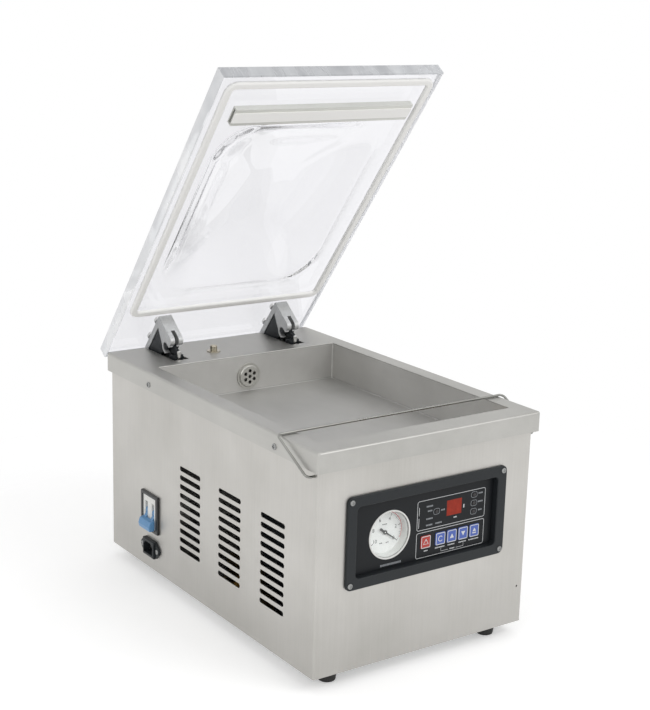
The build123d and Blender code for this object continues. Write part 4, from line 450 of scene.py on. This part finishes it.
def lid_point(x, along, above):
    """A point of the open lid, from mm across, along it from the hinge, and above the hinge when shut."""
    y = HINGE_Y + along * cos(LID_OPEN) + above * sin(LID_OPEN)
    z = HINGE_Z - along * sin(LID_OPEN) + above * cos(LID_OPEN)
    return Vector((x, y, z)) * MM


def front_face(node_name, face_y):
    """Gives a function that places print on a piece which faces the front, from mm about the piece's middle
    and mm out of its face."""
    middle = box_mm(node_name)[2]

    def place(u, v, out):
        return Vector(((middle[0] + u) * MM, face_y - out * MM, (middle[2] + v) * MM))

    return place


def prism(bm, outline, place, height):
    """A flat tile: an outline of (across, up) points, raised by height from its face."""
    base = [bm.verts.new(place(u, v, 0.0)) for u, v in outline]
    top = [bm.verts.new(place(u, v, height)) for u, v in outline]
    bm.faces.new(base[::-1])
    bm.faces.new(top)
    for i in range(len(base)):
        j = (i + 1) % len(base)
        bm.faces.new((base[i], base[j], top[j], top[i]))


def stroke(bm, path, width, place, closed=False):
    """A printed line of even width along a path of (across, up) points."""
    corners = ((-1, 0), (1, 0), (1, INK), (-1, INK))
    rows = []
    count = len(path)
    for i, (u, v) in enumerate(path):
        before = path[i - 1] if closed or i else path[i]
        after = path[(i + 1) % count] if closed or i < count - 1 else path[i]
        du, dv = after[0] - before[0], after[1] - before[1]
        length = hypot(du, dv)
        nu, nv = -dv / length * width / 2, du / length * width / 2
        rows.append([bm.verts.new(place(u + side * nu, v + side * nv, out)) for side, out in corners])
    for i in range(count if closed else count - 1):
        a, b = rows[i], rows[(i + 1) % count]
        for k in range(len(corners)):
            j = (k + 1) % len(corners)
            bm.faces.new((a[k], a[j], b[j], b[k]))
    if not closed:
        bm.faces.new(rows[0][::-1])
        bm.faces.new(rows[-1])


def arc(u, v, radius, start, end, steps):
    """Points on an arc, with angles in degrees counted from the right."""
    turn = [radians(start + (end - start) * i / steps) for i in range(steps + 1)]
    return [(u + radius * cos(t), v + radius * sin(t)) for t in turn]


def rounded_frame(left, right, low, high, radius):
    """Points round a rectangle with rounded corners."""
    middles = (
        (right - radius, high - radius), (left + radius, high - radius),
        (left + radius, low + radius), (right - radius, low + radius),
    )
    path = []
    for corner, (u, v) in enumerate(middles):
        path += arc(u, v, radius, 90 * corner, 90 * corner + 90, CORNER_STEPS)
    return path


def bar(bm, u, v, length, height, place):
    """A plain printed bar about a point."""
    left, right = u - length / 2, u + length / 2
    low, high = v - height / 2, v + height / 2
    prism(bm, ((left, low), (right, low), (right, high), (left, high)), place, INK)


def label(bm, u, v, length, height, place):
    """A row of short bars, as wide and close as letters."""
    count = max(round(length / LETTER_PITCH), 1)
    for i in range(count):
        bar(bm, u + ((i + 0.5) / count - 0.5) * length, v, LETTER_SHARE * length / count, height, place)


# Lid: a thick slab of cast acrylic, blown up into a soft dome with the smooth run-out that hot sheet takes


def swell(depth, reach):
    """Rises smoothly from 0 at the dome's outline to 1 at the end of its reach."""
    t = min(max(depth / reach, 0), 1)
    return t * t * (3 - 2 * t)


def dome_depth(x, along):
    """How far a point lies inside the dome's rounded outline, with lengths along the lid counted short."""
    over_x = abs(x) - DOME_HALF_W + DOME_CORNER
    over_u = DOME_DRAW * (abs(along - DOME_MID) - DOME_HALF_L) + DOME_CORNER
    return DOME_CORNER - hypot(max(over_x, 0), max(over_u, 0)) - min(max(over_x, over_u), 0)


def dome_rise(x, along):
    """Height of the dome at a point: a rounded foot, then a slope that flattens towards the crown."""
    run = sqrt(max(dome_depth(x, along), 0) ** 2 + DOME_FOOT ** 2) - DOME_FOOT
    t = min(run / DOME_SLOPE, 1)
    return DOME_RISE * t * (2 - t)


def under_face(x, along):
    """A point of the under face, which follows the dome and thins slowly towards the crown."""
    thinning = DOME_THINNING * swell(DOME_HALF_W - abs(x), DOME_THINNING_REACH)
    thinning *= swell(DOME_HALF_L - abs(along - DOME_MID), DOME_THINNING_REACH)
    return lid_point(x, along, LID_UNDER + dome_rise(x, along) + thinning)


def top_face(x, along):
    """A point of the top face: the dome's slope moved out along its own normal, so that its wall is even."""
    lean_x = (dome_rise(x + NORMAL_STEP, along) - dome_rise(x - NORMAL_STEP, along)) / (2 * NORMAL_STEP)
    lean_u = (dome_rise(x, along + NORMAL_STEP) - dome_rise(x, along - NORMAL_STEP)) / (2 * NORMAL_STEP)
    out = (LID_TOP - LID_UNDER) / sqrt(lean_x ** 2 + lean_u ** 2 + 1)
    return lid_point(x - lean_x * out, along - lean_u * out, LID_UNDER + dome_rise(x, along) + out)


def steps_between(low, high, pitch):
    """Even steps from low to high, about a pitch apart."""
    count = round((high - low) / pitch)
    return [low + (high - low) * i / count for i in range(count + 1)]


lid_bm = bmesh.new()
grid_x = steps_between(-LID_HALF_W + LID_CHAMFER, LID_HALF_W - LID_CHAMFER, LID_GRID)
grid_u = steps_between(LID_FRONT + LID_CHAMFER, LID_BACK - LID_CHAMFER, LID_GRID)
last_x, last_u = len(grid_x) - 1, len(grid_u) - 1
faces_of_sheet = [[[lid_bm.verts.new(face_point(x, u)) for u in grid_u] for x in grid_x]
                  for face_point in (under_face, top_face)]
for grid in faces_of_sheet:
    for i in range(last_x):
        for j in range(last_u):
            lid_bm.faces.new((grid[i][j], grid[i + 1][j], grid[i + 1][j + 1], grid[i][j + 1]))
rim = [(i, 0) for i in range(last_x)]
rim += [(last_x, j) for j in range(last_u)]
rim += [(i, last_u) for i in range(last_x, 0, -1)]
rim += [(0, j) for j in range(last_u, 0, -1)]


def rim_loop(height):
    """Vertices of the slab's side walls at one height."""
    loop = []
    for i, j in rim:
        x = grid_x[i] * LID_HALF_W / grid_x[-1]
        u = LID_FRONT if j == 0 else LID_BACK if j == last_u else grid_u[j]
        loop.append(lid_bm.verts.new(lid_point(x, u, height)))
    return loop


loops = [
    [faces_of_sheet[0][i][j] for i, j in rim],
    rim_loop(LID_UNDER + LID_CHAMFER),
    rim_loop(LID_TOP - LID_CHAMFER),
    [faces_of_sheet[1][i][j] for i, j in rim],
]
# The long edges take the lit copy of the edge finish, the ends the shaded copy
CLEAR_FACE, LONG_EDGE, END_EDGE = range(3)
for low_loop, high_loop in zip(loops, loops[1:]):
    for i in range(len(rim)):
        j = (i + 1) % len(rim)
        on_end = rim[i][1] == rim[j][1] and rim[i][1] in (0, last_u)
        wall = lid_bm.faces.new((low_loop[i], low_loop[j], high_loop[j], high_loop[i]))
        wall.material_index = END_EDGE if on_end else LONG_EDGE
for face in lid_bm.faces:
    face.smooth = face.material_index == CLEAR_FACE
lid_finishes = (acrylic_clear, acrylic_edge_lit, acrylic_end_shaded)
piece("lid_blown_acrylic", lid_bm, lid_finishes, "lid", ("lid",))

# Print on the panel's film: outlined fields, lines and white labels, then lamp rings and grey labels
on_film = front_face("panel_overlay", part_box("panel_overlay")[0][1])
lines = bmesh.new()
for low, high in FIELD_LEVELS:
    field = rounded_frame(FIELD_LEFT, FIELD_RIGHT, low, high, FIELD_CORNER)
    stroke(lines, field, FIELD_LINE, on_film, closed=True)
for line in SIDE_LINES:
    stroke(lines, line, FIELD_LINE, on_film)
for bracket in KEY_BRACKETS:
    stroke(lines, bracket, BRACKET_LINE, on_film)
bar(lines, *DISPLAY_BAR, on_film)
for place_and_size in WHITE_LABELS:
    label(lines, *place_and_size, on_film)
piece("panel_film_lines", lines, (print_white,), "cabinet")
labels = bmesh.new()
for u, v in LAMP_PLACES:
    ring = rounded_frame(u - LAMP_RING_HALF_W, u + LAMP_RING_HALF_W, v - LAMP_RING_HALF_H,
                         v + LAMP_RING_HALF_H, LAMP_RING_CORNER)
    stroke(labels, ring, LAMP_LINE, on_film, closed=True)
for place_and_size in GREY_LABELS:
    label(labels, *place_and_size, on_film)
piece("panel_film_labels", labels, (print_grey,), "cabinet")

# Print on the keys: a border and a sign of filled tiles or drawn lines, in mm about each key's middle
UP_ARROW = ((-3.2, -2.6), (3.2, -2.6), (0, 3.0))
DOWN_ARROW = ((-3.2, 2.6), (0, -3.0), (3.2, 2.6))
ENTER_ARROW = ((-2.9, -0.8), (2.9, -0.8), (0, 3.6))
ENTER_BAR = ((-2.9, -3.5), (2.9, -3.5), (2.9, -2.1), (-2.9, -2.1))
STOP_TRIANGLE = arc(0, -0.6, 4.2, 90, 450, 3)
SET_RING = arc(0, 0, 3.2, 40, 320, 18)
for key, tiles, drawn, key_slot in (
    ("stop_key", (), (STOP_TRIANGLE,), "red_plastic"),
    ("set_key", (), (SET_RING,), "blue_plastic"),
    ("up_key", (UP_ARROW,), (), "blue_plastic"),
    ("down_key", (DOWN_ARROW,), (), "blue_plastic"),
    ("enter_key", (ENTER_ARROW, ENTER_BAR), (), "blue_plastic"),
):
    on_key = front_face(key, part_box(key)[0][1])
    sign = bmesh.new()
    border = rounded_frame(-KEY_BORDER_HALF_W, KEY_BORDER_HALF_W, -KEY_BORDER_HALF_H, KEY_BORDER_HALF_H,
                           KEY_BORDER_CORNER)
    stroke(sign, border, KEY_BORDER_LINE, on_key, closed=True)
    for tile in tiles:
        prism(sign, tile, on_key, INK)
    for line in drawn:
        stroke(sign, line, KEY_SIGN_LINE, on_key)
    piece(key + "_print", sign, (print_white,), key)

# Print on the gauge's dial: divisions from the needle's rest anticlockwise, plain figures and a red arc
on_dial = front_face("gauge_case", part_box("gauge_dial")[1][1] - DIAL_T * MM)
scale = bmesh.new()
for division in range(SCALE_DIVISIONS + 1):
    turn = radians(SCALE_START + SCALE_SWEEP * division / SCALE_DIVISIONS)
    inner, width = next((start, wide) for every, start, wide in SCALE_MARKS if division % every == 0)
    mark = [(radius * cos(turn), radius * sin(turn)) for radius in (inner, SCALE_OUTER_R)]
    stroke(scale, mark, width, on_dial)
for place_and_size in DIAL_LABELS:
    label(scale, *place_and_size, on_dial)
piece("gauge_scale", scale, (print_black,), "cabinet")
red_arc = bmesh.new()
stroke(red_arc, arc(0, 0, RED_ARC_R, RED_ARC_START, RED_ARC_END, RED_ARC_STEPS), RED_ARC_LINE, on_dial)
piece("gauge_red_arc", red_arc, (print_red,), "cabinet")
figures = bmesh.new()
for step, figure in enumerate(DIAL_FIGURES):
    turn = radians(SCALE_START + SCALE_SWEEP * step / (len(DIAL_FIGURES) - 1))
    letters = bpy.data.curves.new("dial_figure", "FONT")
    letters.body = figure
    letters.size = FIGURE_SIZE
    letters.align_x = "CENTER"
    letters.align_y = "CENTER"
    holder = put("dial_figure", letters)
    flat = plain_mesh(holder)
    for vertex in flat.vertices:
        vertex.co = on_dial(FIGURE_R * cos(turn) + vertex.co.x, FIGURE_R * sin(turn) + vertex.co.y, 0.0)
    figures.from_mesh(flat)
    bpy.data.objects.remove(holder)
    bpy.data.meshes.remove(flat)
raised = bmesh.ops.extrude_face_region(figures, geom=figures.faces[:])["geom"]
raised_verts = [part for part in raised if isinstance(part, bmesh.types.BMVert)]
bmesh.ops.translate(figures, verts=raised_verts, vec=(0, -INK * MM, 0))
piece("gauge_figures", figures, (print_black,), "cabinet")

# Screw heads with a cross recess, one head set on every seat by Geometry Nodes


def screw_head():
    """A domed pan head of radius 1, cut by a cross."""
    bm = bmesh.new()
    turns = [2 * pi * i / HEAD_SIDES for i in range(HEAD_SIDES)]
    rings = [[bm.verts.new((radius * cos(turn), radius * sin(turn), height)) for turn in turns]
             for radius, height in HEAD_PROFILE]
    for low, high in zip(rings, rings[1:]):
        for i in range(HEAD_SIDES):
            j = (i + 1) % HEAD_SIDES
            bm.faces.new((low[i], low[j], high[j], high[i]))
    bm.faces.new(rings[0][::-1])
    bm.faces.new(rings[-1])
    head = put("screw_head", mesh_of("screw_head", bm))
    spare = [head]
    for size_x, size_y in ((CROSS_LENGTH, CROSS_WIDTH), (CROSS_WIDTH, CROSS_LENGTH)):
        slot = bmesh.new()
        bmesh.ops.create_cube(slot, size=1.0)
        bmesh.ops.scale(slot, verts=slot.verts, vec=(size_x, size_y, CROSS_TOP - CROSS_FLOOR))
        bmesh.ops.translate(slot, verts=slot.verts, vec=(0, 0, (CROSS_FLOOR + CROSS_TOP) / 2))
        cutter = put("screw_cross", mesh_of("screw_cross", slot))
        cut = head.modifiers.new("cross", "BOOLEAN")
        cut.operation = "DIFFERENCE"
        cut.object = cutter
        spare.append(cutter)
    solid = plain_mesh(head)
    for used in spare:
        bpy.data.objects.remove(used)
    return put("screw_head", solid)


def screw_tree():
    """Sets one head on each point, turned to the point's facing and scaled to the head's radius."""
    tree = bpy.data.node_groups.new("screws_on_seats", "GeometryNodeTree")
    tree.interface.new_socket("Seats", in_out="INPUT", socket_type="NodeSocketGeometry")
    tree.interface.new_socket("Head", in_out="INPUT", socket_type="NodeSocketObject")
    tree.interface.new_socket("Head radius", in_out="INPUT", socket_type="NodeSocketFloat")
    tree.interface.new_socket("Finish", in_out="INPUT", socket_type="NodeSocketMaterial")
    tree.interface.new_socket("Screws", in_out="OUTPUT", socket_type="NodeSocketGeometry")
    entry = add(tree, "NodeGroupInput").outputs
    named = add(tree, "GeometryNodeInputNamedAttribute", {"Name": "facing"}, data_type="FLOAT_VECTOR")
    turned = add(tree, "FunctionNodeAlignRotationToVector", {"Vector": named.outputs["Attribute"]}, axis="Z")
    shape = add(tree, "GeometryNodeObjectInfo", {"Object": entry["Head"], "As Instance": True})
    spread = add(tree, "GeometryNodeInstanceOnPoints", {
        "Points": entry["Seats"], "Instance": shape.outputs["Geometry"],
        "Rotation": turned.outputs["Rotation"], "Scale": entry["Head radius"],
    })
    real = add(tree, "GeometryNodeRealizeInstances", {"Geometry": spread.outputs["Instances"]})
    painted = add(tree, "GeometryNodeSetMaterial", {
        "Geometry": real.outputs["Geometry"], "Material": entry["Finish"],
    })
    add(tree, "NodeGroupOutput", {"Screws": painted.outputs["Geometry"]})
    return tree


# Seats of the screws, in mm, each with the way it faces
_, deck_high, deck_mid = box_mm("top_deck")
rear_face = box_mm("rear_panel")[1][1]
bezel_low, _, bezel_mid = box_mm("panel_bezel")
inlet_mid = box_mm("inlet_housing")[2]
deck_seats = [((side * deck_high[0], deck_mid[1] + y, DECK_SCREW_Z), (side, 0, 0))
              for side in (-1, 1) for y in DECK_SCREW_YS]
rear_seats = [((side * REAR_SCREW_X, rear_face, z), (0, 1, 0)) for side in (-1, 1) for z in REAR_SCREW_ZS]
bezel_seats = [((side * BEZEL_SCREW_X, bezel_low[1], bezel_mid[2] + row * BEZEL_SCREW_Z), (0, -1, 0))
               for side in (-1, 1) for row in (-1, 1)]
inlet_seats = [((INLET_FLANGE_X, inlet_mid[1] + side * INLET_SCREW_Y, inlet_mid[2]), (-1, 0, 0))
               for side in (-1, 1)]
head_object = screw_head()
seat_tree = screw_tree()
for name, seats, head_radius, node_name in (
    ("casing_screw_heads", deck_seats + rear_seats, CASING_HEAD_R, "casing_screws"),
    ("panel_screw_heads", bezel_seats + inlet_seats, PANEL_HEAD_R, "panel_screws"),
):
    points = bpy.data.meshes.new(name)
    points.from_pydata([Vector(place) * MM for place, _ in seats], [], [])
    facing = points.attributes.new("facing", "FLOAT_VECTOR", "POINT")
    for i, (_, way) in enumerate(seats):
        facing.data[i].vector = way
    screws = put(name, points)
    spread = screws.modifiers.new("screws", "NODES")
    spread.node_group = seat_tree
    values = {"Head": head_object, "Head radius": head_radius * MM, "Finish": screw_steel}
    for socket in seat_tree.interface.items_tree:
        if socket.in_out == "INPUT" and socket.name in values:
            spread[socket.identifier] = values[socket.name]
    heads = plain_mesh(screws)
    screws.modifiers.remove(spread)
    screws.data = heads
    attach(screws, "cabinet")
    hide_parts(node_name)
bpy.data.objects.remove(head_object)

# Coil springs under the push rods' heads: each travels with its rod


def coil(x, y, low, high):
    """A spring of round wire that stands between two heights, in mm."""
    bm = bmesh.new()
    pitch = (high - low - 2 * SPRING_WIRE) / SPRING_TURNS
    round_wire = [2 * pi * k / WIRE_STEPS for k in range(WIRE_STEPS)]
    rings = []
    for i in range(COIL_STEPS * SPRING_TURNS + 1):
        turn = 2 * pi * i / COIL_STEPS
        out = Vector((cos(turn), sin(turn), 0))
        run = Vector((-SPRING_COIL * sin(turn), SPRING_COIL * cos(turn), pitch / (2 * pi))).normalized()
        middle = Vector((x, y, low + SPRING_WIRE + pitch * i / COIL_STEPS)) + SPRING_COIL * out
        rings.append([bm.verts.new((middle + SPRING_WIRE * (cos(a) * out + sin(a) * out.cross(run))) * MM)
                      for a in round_wire])
    for ring, following in zip(rings, rings[1:]):
        for k in range(WIRE_STEPS):
            j = (k + 1) % WIRE_STEPS
            bm.faces.new((ring[k], ring[j], following[j], following[k])).smooth = True
    bm.faces.new(rings[0][::-1])
    bm.faces.new(rings[-1])
    return bm


springs_low, springs_high, springs_mid = box_mm("lid_springs")
spring_x, spring_y = springs_high[0] - SPRING_COIL - SPRING_WIRE, springs_mid[1]
for hand, side in (("left", -1), ("right", 1)):
    spring = piece("lid_spring_" + hand, coil(side * spring_x, spring_y, springs_low[2], springs_high[2]),
                   (bright_steel,), "push_rod_" + hand, ("lid_springs",))
    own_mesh(spring)

# Painted shade: black plates set in the open sides of the hinge arms, so that their hollows are as dark as
# shade
for hand in ("left", "right"):
    arm_low, arm_high, _ = box_mm("hinge_arm_" + hand)
    shade_plates = bmesh.new()
    for plate_x in (arm_low[0] + SHADE_PLATE_RECESS, arm_high[0] - SHADE_PLATE_RECESS - SHADE_PLATE_T):
        prism(shade_plates, SHADE_PLATE_OUTLINE, lambda u, v, out: lid_point(plate_x + out, u, v), SHADE_PLATE_T)
    piece("hinge_arm_covers_" + hand, shade_plates, (black_abs,), "lid")

# Stage: pale floor that fades into the white surround
floor_mesh = bpy.data.meshes.new("studio_floor")
floor_corners = [(x * FLOOR_HALF, y * FLOOR_HALF, 0) for x, y in ((-1, -1), (1, -1), (1, 1), (-1, 1))]
floor_mesh.from_pydata(floor_corners, [], [(0, 1, 2, 3)])
floor = put("studio_floor", floor_mesh)
floor_look, floor_tree, floor_shader = finish(
    "studio_floor_white", Base_Color=(0.9, 0.9, 0.9, 1), Roughness=0.9, Specular_IOR_Level=0.0,
    Emission_Color=(1, 1, 1, 1), Emission_Strength=0.32,
)
floor_place = add(floor_tree, "ShaderNodeTexCoord").outputs["Object"]
floor_reach = add(floor_tree, "ShaderNodeVectorMath", {0: floor_place}, operation="LENGTH")
floor_fade = add(floor_tree, "ShaderNodeMapRange", {
    "Value": floor_reach.outputs["Value"], "From Min": FLOOR_FADE_START, "From Max": FLOOR_FADE_END,
}, interpolation_type="SMOOTHSTEP")
clear = add(floor_tree, "ShaderNodeBsdfTransparent")
faded = add(floor_tree, "ShaderNodeMixShader", {
    0: floor_fade.outputs["Result"], 1: floor_shader.outputs[0], 2: clear.outputs[0],
})
floor_tree.links.new(faded.outputs[0], floor_tree.nodes["Material Output"].inputs["Surface"])
floor_mesh.materials.append(floor_look)

# White surround: full white where it is seen directly, mirrored or through the lid, and softer as a light
world = bpy.data.worlds.new("studio")
world.use_nodes = True
scene.world = world
sky = world.node_tree
seen = add(sky, "ShaderNodeBackground", {"Color": (1, 1, 1, 1), "Strength": SURROUND_SEEN})
lit = add(sky, "ShaderNodeBackground", {"Color": (1, 1, 1, 1), "Strength": SURROUND_LIGHT})
ray = add(sky, "ShaderNodeLightPath").outputs
mirrored = add(sky, "ShaderNodeMath", {
    0: ray["Is Camera Ray"], 1: ray["Is Glossy Ray"],
}, operation="MAXIMUM")
through = add(sky, "ShaderNodeMath", {
    0: mirrored.outputs[0], 1: ray["Is Transmission Ray"],
}, operation="MAXIMUM")
surround = add(sky, "ShaderNodeMixShader", {0: through.outputs[0], 1: lit.outputs[0], 2: seen.outputs[0]})
sky.links.new(surround.outputs[0], sky.nodes["World Output"].inputs["Surface"])


def soft_lamp(name, place, aim, width, power):
    """A square soft box that faces the point it aims at, in metres and watts."""
    lamp = bpy.data.lights.new(name, "AREA")
    lamp.size = width
    lamp.energy = power
    made = put(name, lamp)
    made.location = place
    made.rotation_euler = (Vector(aim) - Vector(place)).to_track_quat("-Z", "Y").to_euler()


soft_lamp("key_softbox", place=(0.9, -1.9, 1.9), aim=(0, 0, 0.25), width=1.4, power=16)
soft_lamp("fill_softbox", place=(-2.0, -0.9, 1.3), aim=(0, 0, 0.2), width=1.6, power=7)
soft_lamp("top_softbox", place=(0.0, 0.2, 2.4), aim=(0, 0, 0.2), width=1.6, power=5)

# Camera at the photo's viewing angle
camera_data = bpy.data.cameras.new("photo_camera")
camera = put("photo_camera", camera_data)
azimuth, elevation, roll = radians(CAMERA_AZIMUTH), radians(CAMERA_ELEVATION), radians(CAMERA_ROLL)
back = Vector((sin(azimuth) * cos(elevation), -cos(azimuth) * cos(elevation), sin(elevation)))
right = Vector((cos(azimuth), sin(azimuth), 0))
up = back.cross(right)
turned_right = cos(roll) * right + sin(roll) * up
turned_up = cos(roll) * up - sin(roll) * right
camera_turn = Matrix((turned_right, turned_up, back)).transposed().to_4x4()
camera.matrix_world = Matrix.Translation(Vector(CAMERA_TARGET) + CAMERA_DISTANCE * back) @ camera_turn
camera_data.sensor_width = SENSOR_MM
camera_data.lens = FOCAL_PIXELS * SENSOR_MM / PHOTO_LONG_SIDE
camera_data.clip_end = CAMERA_REACH
scene.camera = camera
scene.view_settings.view_transform = "Standard"
